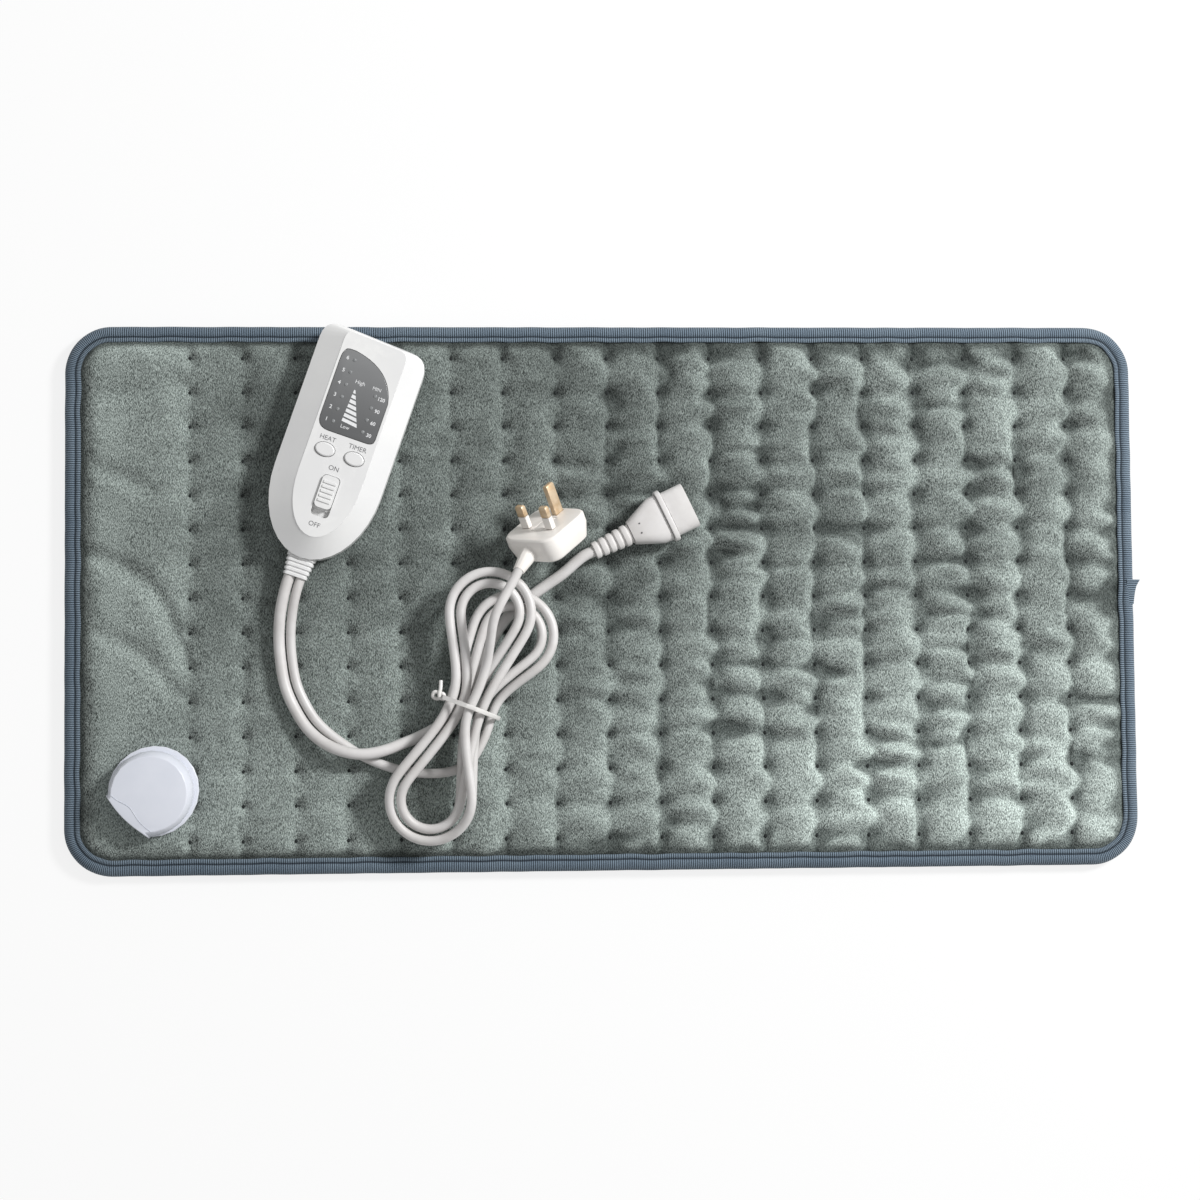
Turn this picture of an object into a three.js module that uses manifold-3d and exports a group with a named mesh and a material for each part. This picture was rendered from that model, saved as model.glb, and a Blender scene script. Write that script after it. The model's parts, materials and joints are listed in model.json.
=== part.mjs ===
// A quilted heating pad with its handset, pad lead, mains lead and plug, in millimetres, +Z up.
// The origin is the middle of the pad's underside; +X runs along the pad and +Y across it.
import * as THREE from 'three';
import { mergeVertices } from 'three/addons/utils/BufferGeometryUtils.js';
import Module from 'manifold-3d';

const wasm = await Module();
wasm.setup();

// Clearances
const FIT = 0.3;
const REACH_PAST = 2;

// Pad: overall size, edge tape and layers
const PAD_LENGTH = 590;
const PAD_WIDTH = 300;
const PAD_CORNER = 26;
const TAPE = 1;
const BINDING_WIDTH = 9;
const BINDING_HEIGHT = 8.8;
const BINDING_ROUND = 1.6;
const BOTTOM_CLOTH = 0.8;
const FELT = 0.8;
const FELT_MARGIN = 13;

// Quilting: a grid of stitches, with plain margins at the ends
const STITCH_COLUMNS = 18;
const STITCH_ROWS = 15;
const LEFT_MARGIN = 68;
const RIGHT_MARGIN = 38;
const ROW_MARGIN = 18.4;
const STITCH_HEIGHT = 7.6;
const CHANNEL_HEIGHT = 9.6;
const CREST_HEIGHT = 13;
const MARGIN_HEIGHT = 11.5;
const MARGIN_CREST = 33;

// Heating wire: runs along the pad
const WIRE_DIAMETER = 1.8;
const WIRE_RUNS = 6;
const WIRE_ROW_MARGIN = 37;
const WIRE_END_MARGIN = 50;
const WIRE_RETURN_MARGIN = 18;
const WIRE_BEND = 18;
const WIRE_BEND_SHARE = 0.3;
const CUTOUT_LENGTH = 16;
const CUTOUT_WIDTH = 7;

// Pad socket: an ellipse that ends in a bulged lip at its mouth
const SOCKET_FROM_LEFT = 49;
const SOCKET_FROM_FRONT = 46;
const SOCKET_HALF_WIDTH = 24;
const SOCKET_HALF_LENGTH = 25;
const SOCKET_MOUTH = 18.6;
const SOCKET_NOTCH = 1;
const SOCKET_BULGE = 2.6;
const SOCKET_LIP = 0.8;
const SOCKET_SHIFT = 0.8;
const SOCKET_TURN = -Math.PI / 4;
const SOCKET_BASE = 2.5;
const SOCKET_RIM = 1.6;
const SOCKET_SIDE = 4;
const SOCKET_CROWN = 10.4;
const SOCKET_BORE_WIDTH = 22;
const SOCKET_BORE_HEIGHT = 6;
const SOCKET_BORE_DEPTH = 21.4;
const SOCKET_PIN = 2.4;
const SOCKET_PIN_LENGTH = 10;
const PIN_PITCH = 9;

// Handset: outline, shells and parting line
const CASE_LENGTH = 127;
const CASE_WIDTH = 60;
const CASE_X = -144.8;
const CASE_Y = 81;
const CASE_TURN = THREE.MathUtils.degToRad(-19.4);
const CASE_SHOULDER = 83;
const CASE_TOP_SLOPE = 2.9;
const CASE_CORNER = 10;
const CASE_WALL = 2;
const CASE_EDGE = 0.6;
const LOWER_HEIGHT = 9;
const LOWER_ROUND = 3;
const ROUND_SHARE = 0.3;
const SIDE_HEIGHT = 14;
const CASE_HEIGHT = 21;
const PLATEAU_LEFT = 13;
const PLATEAU_RIGHT = 10.5;
const PLATEAU_TOP = 1.5;
const PLATEAU_BOTTOM = 11.5;

// Handset face: window, lamps, buttons and slider, measured from the top end
const WINDOW_LEFT = -15.2;
const WINDOW_RIGHT = 17.5;
const WINDOW_TOP = 12;
const WINDOW_BOTTOM = 58;
const WINDOW_ARC = 22;
const WINDOW_CORNER = 7;
const LENS = 1.1;
const LAMP_DIAMETER = 3;
const HEAT_LAMPS = 6;
const HEAT_LAMP_X = -7.3;
const HEAT_LAMP_START = 17.1;
const HEAT_LAMP_STEP = 7;
const TIMER_LAMPS = 4;
const TIMER_LAMP_X = 9.5;
const TIMER_LAMP_START = 32;
const TIMER_LAMP_STEP = 6.85;
const BUTTON_WIDTH = 11;
const BUTTON_DEPTH = 7.6;
const BUTTON_FROM_TOP = 68;
const HEAT_BUTTON_X = -6.5;
const TIMER_BUTTON_X = 10;
const BUTTON_PROUD = 1.2;
const BUTTON_TRAVEL = 1.2;
const FLANGE = 1;
const FLANGE_LIP = 1;
const SLIDER_X = 2.2;
const SLIDER_FROM_TOP = 89.6;
const SLIDER_WIDTH = 9.4;
const SLIDER_LENGTH = 18;
const SLIDER_TRAVEL = 4.5;
const SLIDER_PROUD = 1.4;
const SLIDER_RIDGES = 5;
const RIDGE_HEIGHT = 0.6;

// Handset inside: board, switches, fasteners and parts on the board
const BOARD = 1.6;
const BOARD_HEIGHT = 12;
const BOARD_INSET = 4;
const SWITCH_SIZE = 6;
const CHIP_SIZE = 9;
const CHIP_HEIGHT = 1.4;
const SCREW_INSET = 6.5;
const SCREW_SINK = 0.4;
const SCREW_FROM_TOP = 21.5;
const SCREW_SPACING = 64;
const SCREW_DIAMETER = 2.6;
const SCREW_HEAD = 5.2;
const SCREW_HEAD_HEIGHT = 1.6;
const SCREW_BITE = 1.6;
const BOSS_DIAMETER = 7;
const CAPACITOR_DIAMETER = 8;
const CAPACITOR_HEIGHT = 7.5;
const TRIAC_WIDTH = 10;
const TRIAC_DEPTH = 4.6;
const TRIAC_HEIGHT = 8;

// Cord gland at the lower end of the handset
const GLAND_WIDTH = 16;
const GLAND_HEIGHT = 9;
const GLAND_TIP = 0.84;
const GLAND_OUTSIDE = 10.5;
const GLAND_INSIDE = 8;
const GLAND_CENTRE = 8;
const GLAND_RIBS = 4;
const GLAND_FLANGE = 2;
const GLAND_ROUND = 0.33;
const GLAND_GROOVE = 1;
const GROOVE_SHARE = 0.5;
const RIB_SLOPE = 0.1;

// Cords
const PAD_LEAD_DIAMETER = 6.2;
const MAINS_LEAD_DIAMETER = 5.2;
const CORD_GAP = 0.5;
const FOLD_GAP = 1;
const WAIST_GAP = 1;
const LAYER_GAP = 1.1;

// Connector on the pad lead
const CONNECTOR_X = 45.5;
const CONNECTOR_Y = 49.5;
const CONNECTOR_TURN = THREE.MathUtils.degToRad(25.5);
const CONNECTOR_HEIGHT = 15;
const BOOT_LENGTH = 22;
const BOOT_WIDTH = 12;
const BOOT_RIBS = 5;
const BOOT_RIB_SHARE = 0.6;
const BODY_LENGTH = 20;
const BODY_WIDTH = 27;
const BODY_NECK = 0.35;
const BODY_SHOULDER = 0.75;
const BODY_ROUND = 0.4;
const COLLAR_LENGTH = 3;
const COLLAR_LIP = 1.4;
const SKIRT_LENGTH = 12.4;
const CONTACT_BORE = 3;
const CONTACT_DEPTH = 10;

// Plug: three flat pins; the cord leaves at the edge away from the earth pin
const PLUG_WIDTH = 36;
const PLUG_LENGTH = 36;
const PLUG_BASE = 6;
const PLUG_GRIP = 10;
const PLUG_CORNER = 8;
const PLUG_EDGE = 1;
const PLUG_X = -35;
const PLUG_Y = 38;
const PLUG_EARTH_WAY = [0.62, 0.55, -0.56];
const PLUG_PIN_WAY = [-0.33, 0.83, 0.45];
const NECK_LENGTH = 12;
const NECK_DIAMETER = 9;
const NECK_LEAN = 0.35;
const PIN_SEAT = 4.2;
const PIN_POINT = 1;
const PLUG_PIN_PITCH = 17;
const EARTH_OFFSET = 17;
const LINE_OFFSET = 4.5;
const LINE_PIN_WIDTH = 5;
const LINE_PIN_THICK = 3.1;
const LINE_PIN_LENGTH = 13.6;
const SLEEVE_LENGTH = 7;
const SLEEVE_WALL = 0.6;
const EARTH_PIN_WIDTH = 3.1;
const EARTH_PIN_THICK = 6.2;
const EARTH_PIN_LENGTH = 17.5;
const FUSE_WIDTH = 6;
const FUSE_LENGTH = 14;
const FUSE_DEPTH = 1.6;

// Hank: loops drawn in at a tie, in two layers
const TIE_X = -77.5;
const TIE_Y = -59.5;
const HANK_TURN = THREE.MathUtils.degToRad(-21);
const FOLD_RADIUS = 16;
const WAIST_RUN = 9;
const CLIMB_START = 0.4;
const LOWER_REACH = 54;
const UPPER_REACH_1 = 46;
const UPPER_REACH_2 = 52;
const UPPER_LEAN_1 = THREE.MathUtils.degToRad(13);
const UPPER_LEAN_2 = THREE.MathUtils.degToRad(-6);
const DROOP_START = 44;
const DROOP_END = 78;
const LOOP_STEPS = 24;
const LOOP_SIDES = 6;
const TIE_WIDTH = 2.4;
const TIE_THICK = 1.2;

// Heights that follow from the layers
const BOTTOM_TOP = TAPE + FIT + BOTTOM_CLOTH;
const FELT_BOTTOM = BOTTOM_TOP + FIT;
const WIRE_BOTTOM = FELT_BOTTOM + FELT + FIT;
const TOP_UNDERSIDE = WIRE_BOTTOM + WIRE_DIAMETER + FIT;
const REST_HEIGHT = CREST_HEIGHT + FIT;

function material(color, roughness, metalness = 0) {
  return new THREE.MeshStandardMaterial({ color, roughness, metalness });
}

const materials = {
  fleece: () => material(0x7f8d86, 0.95),
  cloth: () => material(0x6f7a78, 0.95),
  tape: () => material(0x5b6b78, 0.85),
  felt: () => material(0xd9d6cc, 0.95),
  wire: () => material(0xb8452f, 0.5),
  whitePlastic: () => material(0xe3e3e3, 0.42),
  socketPlastic: () => material(0xd5d8e2, 0.45),
  cord: () => material(0xe6e4e2, 0.5),
  plug: () => material(0xece8e4, 0.35),
  lens: () => material(0x6f6f6f, 0.2),
  lamp: () => material(0xf3ead2, 0.3),
  board: () => material(0x2f6b3c, 0.5),
  black: () => material(0x1d1d1f, 0.5),
  brass: () => material(0xe5c8a8, 0.3, 1),
  steel: () => material(0xb9bcc0, 0.3, 1),
};

const model = new THREE.Group();

function place(parent, name, geometry, finish) {
  const mesh = new THREE.Mesh(geometry, finish());
  mesh.name = name;
  parent.add(mesh);
  return mesh;
}

// Geometry from points and triangles, turned so that its faces point out
function closedGeometry(points, triangles) {
  let volume = 0;
  for (let corner = 0; corner < triangles.length; corner += 3) {
    const [a, b, c] = [0, 1, 2].map((step) => points[triangles[corner + step]]);
    volume += a.dot(new THREE.Vector3().crossVectors(b, c));
  }
  const facing = volume < 0 ? triangles.slice().reverse() : triangles;
  const geometry = new THREE.BufferGeometry();
  geometry.setFromPoints(points);
  geometry.setIndex(facing);
  geometry.computeVertexNormals();
  return geometry;
}

// Triangles that close a flat ring, in the ring's own order
function capTriangles(ring) {
  const normal = new THREE.Vector3();
  const origin = ring[0];
  for (let side = 1; side + 1 < ring.length; side += 1) {
    const first = ring[side].clone().sub(origin);
    const second = ring[side + 1].clone().sub(origin);
    normal.add(first.cross(second));
  }
  normal.normalize();
  const along = ring[1].clone().sub(origin).normalize();
  const across = new THREE.Vector3().crossVectors(normal, along);
  const flat = ring.map((point) => {
    const offset = point.clone().sub(origin);
    return new THREE.Vector2(offset.dot(along), offset.dot(across));
  });
  return THREE.ShapeUtils.triangulateShape(flat, []).map(([a, b, c]) => {
    const turn = (flat[b].x - flat[a].x) * (flat[c].y - flat[a].y)
      - (flat[b].y - flat[a].y) * (flat[c].x - flat[a].x);
    return turn > 0 ? [a, b, c] : [a, c, b];
  });
}

// A solid through rings of equal point counts, capped at both ends or joined into a loop
function loft(rings, { joined = false } = {}) {
  const count = rings[0].length;
  const points = rings.flat();
  const triangles = [];
  const spans = joined ? rings.length : rings.length - 1;
  for (let ring = 0; ring < spans; ring += 1) {
    const here = ring * count;
    const there = ((ring + 1) % rings.length) * count;
    for (let side = 0; side < count; side += 1) {
      const next = (side + 1) % count;
      triangles.push(here + side, here + next, there + next);
      triangles.push(here + side, there + next, there + side);
    }
  }
  if (!joined) {
    const final = rings.length - 1;
    const last = final * count;
    capTriangles(rings[0]).forEach(([a, b, c]) => triangles.push(a, c, b));
    capTriangles(rings[final]).forEach(([a, b, c]) => triangles.push(last + a, last + b, last + c));
  }
  return closedGeometry(points, triangles);
}

function atHeight(outline, z) {
  return outline.map((point) => new THREE.Vector3(point.x, point.y, z));
}

function prism(outline, bottom, top) {
  return loft([atHeight(outline, bottom), atHeight(outline, top)]);
}

function box(width, depth, bottom, top, x = 0, y = 0) {
  const geometry = new THREE.BoxGeometry(width, depth, top - bottom);
  return geometry.translate(x, y, (bottom + top) / 2);
}

function rod(diameter, bottom, top, x = 0, y = 0, sides = 16) {
  const geometry = new THREE.CylinderGeometry(diameter / 2, diameter / 2, top - bottom, sides);
  return geometry.rotateX(Math.PI / 2).translate(x, y, (bottom + top) / 2);
}

function rodAlongY(diameter, from, to, x, z, sides = 12) {
  const geometry = new THREE.CylinderGeometry(diameter / 2, diameter / 2, to - from, sides);
  return geometry.translate(x, (from + to) / 2, z);
}

function roundedRectangle(width, depth, radius, steps = 4, x = 0, y = 0) {
  const points = [];
  for (let corner = 0; corner < 4; corner += 1) {
    const signX = corner === 0 || corner === 3 ? 1 : -1;
    const signY = corner < 2 ? 1 : -1;
    const centreX = x + signX * (width / 2 - radius);
    const centreY = y + signY * (depth / 2 - radius);
    for (let step = 0; step <= steps; step += 1) {
      const angle = (corner + step / steps) * (Math.PI / 2);
      points.push(new THREE.Vector2(centreX + radius * Math.cos(angle), centreY + radius * Math.sin(angle)));
    }
  }
  return points;
}

function toSolid(geometry) {
  const bare = geometry.clone();
  bare.deleteAttribute('normal');
  bare.deleteAttribute('uv');
  const merged = mergeVertices(bare);
  const vertProperties = new Float32Array(merged.attributes.position.array);
  const triVerts = new Uint32Array(merged.index.array);
  return new wasm.Manifold(new wasm.Mesh({ numProp: 3, vertProperties, triVerts }));
}

function fromSolid(solid) {
  const mesh = solid.getMesh();
  const geometry = new THREE.BufferGeometry();
  geometry.setAttribute('position', new THREE.BufferAttribute(mesh.vertProperties, 3));
  geometry.setIndex(new THREE.BufferAttribute(mesh.triVerts, 1));
  geometry.computeVertexNormals();
  return geometry;
}

function cut(geometry, tools) {
  return fromSolid(tools.reduce((solid, tool) => solid.subtract(toSolid(tool)), toSolid(geometry)));
}

function join(geometry, others) {
  return fromSolid(others.reduce((solid, other) => solid.add(toSolid(other)), toSolid(geometry)));
}

// A round cord along a smooth curve through points
function cordGeometry(points, diameter, stepLength, sides = 8) {
  const path = new THREE.CatmullRomCurve3(points);
  const section = new THREE.Shape();
  for (let side = 0; side < sides; side += 1) {
    const angle = (side * 2 * Math.PI) / sides;
    const x = (diameter / 2) * Math.cos(angle);
    const y = (diameter / 2) * Math.sin(angle);
    if (side === 0) section.moveTo(x, y);
    else section.lineTo(x, y);
  }
  section.closePath();
  const steps = Math.round(path.getLength() / stepLength);
  return new THREE.ExtrudeGeometry(section, { steps, extrudePath: path, bevelEnabled: false });
}

// Pad: the outline at a given distance in from the edge
function padOutline(inset) {
  return roundedRectangle(PAD_LENGTH - 2 * inset, PAD_WIDTH - 2 * inset, PAD_CORNER - inset, 6);
}

function edgeBinding() {
  const slotTop = BINDING_HEIGHT - TAPE;
  const section = [
    [BINDING_ROUND, 0],
    [BINDING_WIDTH, 0],
    [BINDING_WIDTH, TAPE],
    [TAPE, TAPE],
    [TAPE, slotTop],
    [BINDING_WIDTH, slotTop],
    [BINDING_WIDTH, BINDING_HEIGHT],
    [BINDING_ROUND, BINDING_HEIGHT],
    [0, BINDING_HEIGHT - BINDING_ROUND],
    [0, BINDING_ROUND],
  ];
  return loft(section.map(([inset, z]) => atHeight(padOutline(inset), z)), { joined: true });
}

function bottomCover() {
  const inner = padOutline(BINDING_WIDTH + FIT);
  const outer = padOutline(TAPE + FIT);
  const step = TAPE + FIT;
  return loft([
    atHeight(inner, 0),
    atHeight(inner, step),
    atHeight(outer, step),
    atHeight(outer, BOTTOM_TOP),
  ]);
}

// Places of a line of stitches, with the crests between them
function stitchLine(first, last, count) {
  const lines = [];
  for (let index = 0; index < count; index += 1) {
    const place = first + ((last - first) * index) / (count - 1);
    const gap = (last - first) / (count - 1);
    lines.push({ place, stitch: true });
    if (index + 1 < count) lines.push({ place: place + gap / 2, stitch: false });
  }
  return lines;
}

// Quilted top: low at each stitch, full between four stitches, thin under the edge tape
function quiltedTop() {
  const inset = TAPE + FIT;
  const halfLength = PAD_LENGTH / 2;
  const halfWidth = PAD_WIDTH / 2;
  const radius = PAD_CORNER - inset;
  const edgeRise = (BINDING_HEIGHT - TAPE - FIT - TOP_UNDERSIDE) / (BINDING_WIDTH - inset);
  const underTape = (distance) => TOP_UNDERSIDE + edgeRise * (distance - inset);
  const columns = [
    { place: -halfLength + inset, edge: true },
    { place: -halfLength + MARGIN_CREST, margin: true },
    ...stitchLine(-halfLength + LEFT_MARGIN, halfLength - RIGHT_MARGIN, STITCH_COLUMNS),
    { place: halfLength - RIGHT_MARGIN / 2, margin: true },
    { place: halfLength - inset, edge: true },
  ];
  const rows = [
    { place: -halfWidth + inset, edge: true },
    ...stitchLine(-halfWidth + ROW_MARGIN, halfWidth - ROW_MARGIN, STITCH_ROWS),
    { place: halfWidth - inset, edge: true },
  ];
  const height = (column, row) => {
    if (column.edge || row.edge) return TOP_UNDERSIDE;
    const pastX = Math.max(Math.abs(column.place) - halfLength + PAD_CORNER, 0);
    const pastY = Math.max(Math.abs(row.place) - halfWidth + PAD_CORNER, 0);
    const distance = PAD_CORNER - Math.hypot(pastX, pastY);
    let wanted = CREST_HEIGHT;
    if (column.margin) wanted = MARGIN_HEIGHT;
    else if (column.stitch && row.stitch) wanted = STITCH_HEIGHT;
    else if (column.stitch || row.stitch) wanted = CHANNEL_HEIGHT;
    return distance < PAD_CORNER ? Math.min(wanted, underTape(distance)) : wanted;
  };
  // Edge points are drawn in onto the pad's rounded corners
  const position = (column, row) => {
    let x = column.place;
    let y = row.place;
    const cornerX = halfLength - inset - radius;
    const cornerY = halfWidth - inset - radius;
    const beyondX = Math.abs(x) - cornerX;
    const beyondY = Math.abs(y) - cornerY;
    if (beyondX > 0 && beyondY > 0 && (column.edge || row.edge)) {
      const angle = column.edge && row.edge ? Math.PI / 4 : Math.asin(Math.min(beyondX, beyondY) / radius);
      const short = radius * Math.sin(angle);
      const long = radius * Math.cos(angle);
      const wideX = beyondX >= beyondY;
      x = Math.sign(x) * (cornerX + (wideX ? long : short));
      y = Math.sign(y) * (cornerY + (wideX ? short : long));
    }
    return new THREE.Vector3(x, y, height(column, row));
  };
  const points = rows.flatMap((row) => columns.map((column) => position(column, row)));
  const wide = columns.length;
  const triangles = [];
  for (let row = 0; row + 1 < rows.length; row += 1) {
    for (let column = 0; column + 1 < wide; column += 1) {
      const a = row * wide + column;
      const b = a + 1;
      const c = a + wide + 1;
      const d = a + wide;
      const fall = (row + column) % 2 === 0;
      triangles.push(...(fall ? [a, b, c, a, c, d] : [a, b, d, b, c, d]));
    }
  }
  // The flat underside joins the front and back edges, with a fan to each end
  const back = (rows.length - 1) * wide;
  const right = wide - 1;
  for (let column = 0; column + 1 < wide; column += 1) {
    triangles.push(column, back + column + 1, column + 1);
    triangles.push(column, back + column, back + column + 1);
  }
  for (let row = 1; row + 1 < rows.length; row += 1) {
    const here = row * wide;
    const next = here + wide;
    triangles.push(here, next, 0);
    triangles.push(next + right, here + right, right);
  }
  return closedGeometry(points, triangles);
}

// Heating wire: runs joined by half turns, with the far end brought back along the left edge
function heatingWire() {
  const z = WIRE_BOTTOM + WIRE_DIAMETER / 2;
  const first = -PAD_WIDTH / 2 + WIRE_ROW_MARGIN;
  const pitch = (PAD_WIDTH - 2 * WIRE_ROW_MARGIN) / (WIRE_RUNS - 1);
  const end = PAD_LENGTH / 2 - WIRE_END_MARGIN;
  const turnSteps = 6;
  const points = [];
  for (let run = 0; run < WIRE_RUNS; run += 1) {
    const way = run % 2 === 0 ? 1 : -1;
    const y = first + run * pitch;
    points.push(new THREE.Vector3(-way * end, y, z));
    const lastRun = run === WIRE_RUNS - 1;
    for (let step = 0; step < turnSteps && !lastRun; step += 1) {
      const angle = -Math.PI / 2 + (step * Math.PI) / turnSteps;
      const x = way * (end + (pitch / 2) * Math.cos(angle));
      points.push(new THREE.Vector3(x, y + (pitch / 2) * (1 + Math.sin(angle)), z));
    }
  }
  const back = -PAD_LENGTH / 2 + WIRE_RETURN_MARGIN;
  const lastY = first + (WIRE_RUNS - 1) * pitch;
  const halfBend = WIRE_BEND * WIRE_BEND_SHARE;
  points.push(new THREE.Vector3(-end, lastY, z));
  points.push(new THREE.Vector3(back + WIRE_BEND, lastY, z));
  points.push(new THREE.Vector3(back + halfBend, lastY - halfBend, z));
  points.push(new THREE.Vector3(back, lastY - WIRE_BEND, z));
  points.push(new THREE.Vector3(back, first + WIRE_BEND, z));
  return tube(points, WIRE_DIAMETER, LOOP_SIDES);
}

// A tube straight from point to point, with its section turned along the way
function tube(points, diameter, sides) {
  const rings = [];
  let side = new THREE.Vector3(0, 0, 1);
  points.forEach((point, index) => {
    const before = points[Math.max(index - 1, 0)];
    const after = points[Math.min(index + 1, points.length - 1)];
    const along = after.clone().sub(before).normalize();
    side = side.clone().addScaledVector(along, -side.dot(along)).normalize();
    const other = new THREE.Vector3().crossVectors(along, side);
    const ring = [];
    for (let corner = 0; corner < sides; corner += 1) {
      const angle = ((corner + 0.5) * 2 * Math.PI) / sides;
      const offset = side.clone().multiplyScalar(Math.cos(angle) * (diameter / 2));
      ring.push(point.clone().add(offset).addScaledVector(other, Math.sin(angle) * (diameter / 2)));
    }
    rings.push(ring);
  });
  return loft(rings);
}

function buildPad() {
  place(model, 'edge_binding', edgeBinding(), materials.tape);
  place(model, 'bottom_cover', bottomCover(), materials.cloth);
  const felt = prism(padOutline(FELT_MARGIN), FELT_BOTTOM, FELT_BOTTOM + FELT);
  place(model, 'element_felt', felt, materials.felt);
  place(model, 'heating_wire', heatingWire(), materials.wire);
  const cutoutX = -PAD_LENGTH / 2 + WIRE_RETURN_MARGIN + WIRE_DIAMETER / 2 + FIT + CUTOUT_WIDTH / 2;
  const cutout = box(CUTOUT_WIDTH, CUTOUT_LENGTH, WIRE_BOTTOM, WIRE_BOTTOM + WIRE_DIAMETER, cutoutX, 0);
  place(model, 'thermal_cutout', cutout, materials.black);
  place(model, 'quilted_top', quiltedTop(), materials.fleece);
}
buildPad();

// Pad socket, in a frame with its mouth towards -Y; smaller outlines move towards the mouth
function socketOutline(inset, mouth) {
  const halfWidth = SOCKET_HALF_WIDTH - inset;
  const halfLength = SOCKET_HALF_LENGTH - inset;
  const centre = -inset * SOCKET_SHIFT;
  const start = Math.asin((-mouth - centre) / halfLength);
  const steps = 18;
  const points = [];
  for (let step = 0; step <= steps; step += 1) {
    const angle = start + ((Math.PI - 2 * start) * step) / steps;
    points.push(new THREE.Vector2(halfWidth * Math.cos(angle), centre + halfLength * Math.sin(angle)));
  }
  const halfMouth = halfWidth * Math.cos(start) + SOCKET_NOTCH / 2;
  const lipSteps = 8;
  for (let step = 0; step <= lipSteps; step += 1) {
    const share = (2 * step) / lipSteps - 1;
    const bulge = SOCKET_NOTCH + (SOCKET_BULGE - SOCKET_NOTCH) * (1 - share * share);
    points.push(new THREE.Vector2(halfMouth * share, -mouth - bulge));
  }
  return points;
}

function buildSocket() {
  const socket = new THREE.Group();
  socket.position.set(
    -PAD_LENGTH / 2 + SOCKET_FROM_LEFT,
    -PAD_WIDTH / 2 + SOCKET_FROM_FRONT,
    MARGIN_HEIGHT + FIT,
  );
  socket.rotation.z = SOCKET_TURN;
  model.add(socket);
  const base = prism(socketOutline(0, SOCKET_MOUTH), 0, SOCKET_BASE);
  place(socket, 'socket_base', base, materials.socketPlastic);
  const capBottom = SOCKET_BASE + FIT;
  const mouth = SOCKET_MOUTH - SOCKET_LIP;
  const dome = loft([
    atHeight(socketOutline(SOCKET_RIM, mouth), capBottom),
    atHeight(socketOutline(SOCKET_RIM, mouth), capBottom + SOCKET_SIDE),
    atHeight(socketOutline(SOCKET_RIM * 2, mouth), capBottom + (SOCKET_SIDE + SOCKET_CROWN) / 2),
    atHeight(socketOutline(SOCKET_RIM * 4, mouth), capBottom + SOCKET_CROWN),
  ]);
  const back = SOCKET_BORE_DEPTH - mouth;
  const boreMiddle = (back - SOCKET_HALF_LENGTH) / 2;
  const bore = box(
    SOCKET_BORE_WIDTH,
    back + SOCKET_HALF_LENGTH,
    capBottom - REACH_PAST,
    capBottom + SOCKET_BORE_HEIGHT,
    0,
    boreMiddle,
  );
  place(socket, 'socket_cap', cut(dome, [bore]), materials.socketPlastic);
  const pinHeight = capBottom + SOCKET_BORE_HEIGHT / 2;
  const pinEnd = back - FIT;
  [-1, 1].forEach((side, index) => {
    const x = (side * PIN_PITCH) / 2;
    const pin = rodAlongY(SOCKET_PIN, pinEnd - SOCKET_PIN_LENGTH, pinEnd, x, pinHeight);
    place(socket, `socket_pin_${index + 1}`, pin, materials.brass);
  });
}
buildSocket();

// Handset, in a frame with +Y towards its top end and its underside at zero height
const CASE_HALF = CASE_LENGTH / 2;
const ROOF = CASE_HEIGHT - CASE_WALL;
const FLANGE_TOP = ROOF - FIT;
const FLANGE_BOTTOM = FLANGE_TOP - FLANGE;
const BOARD_TOP = BOARD_HEIGHT + BOARD;
const PART_BOTTOM = BOARD_TOP + FIT;
const RECESS_FLOOR = CASE_HEIGHT - LENS - FIT;

function bezier(from, control, to, steps) {
  const curve = new THREE.QuadraticBezierCurve(
    new THREE.Vector2(...from),
    new THREE.Vector2(...control),
    new THREE.Vector2(...to),
  );
  return curve.getPoints(steps);
}

// A slanted top edge with round corners, straight sides and a half ellipse at the lower end
function slantedOutline(left, right, top, bottom, corner) {
  const shoulder = CASE_HALF - CASE_SHOULDER;
  const middle = (left + right) / 2;
  const steps = 18;
  const points = [];
  for (let step = 0; step <= steps; step += 1) {
    const angle = Math.PI + (Math.PI * step) / steps;
    const x = middle + ((right - left) / 2) * Math.cos(angle);
    points.push(new THREE.Vector2(x, shoulder + (shoulder - bottom) * Math.sin(angle)));
  }
  const edge = (x) => top - (CASE_TOP_SLOPE * (x + CASE_WIDTH / 2)) / CASE_WIDTH;
  const rightStart = [right, edge(right) - corner];
  const rightEnd = [right - corner, edge(right - corner)];
  points.push(...bezier(rightStart, [right, edge(right)], rightEnd, 5));
  const leftStart = [left + corner, edge(left + corner)];
  const leftEnd = [left, edge(left) - corner];
  points.push(...bezier(leftStart, [left, edge(left)], leftEnd, 5));
  return points;
}

function caseOutline(inset, lowerInset = inset) {
  const side = CASE_WIDTH / 2 - inset;
  return slantedOutline(-side, side, CASE_HALF - inset, -CASE_HALF + lowerInset, CASE_CORNER - inset / 2);
}

function plateauOutline(inset) {
  const left = -CASE_WIDTH / 2 + PLATEAU_LEFT + inset;
  const right = CASE_WIDTH / 2 - PLATEAU_RIGHT - inset;
  const top = CASE_HALF - PLATEAU_TOP - inset;
  const bottom = -CASE_HALF + PLATEAU_BOTTOM + inset;
  return slantedOutline(left, right, top, bottom, CASE_CORNER / 2);
}

function ellipse(width, depth, x, y, steps = 20) {
  return new THREE.EllipseCurve(x, y, width / 2, depth / 2).getPoints(steps).slice(0, steps);
}

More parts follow.
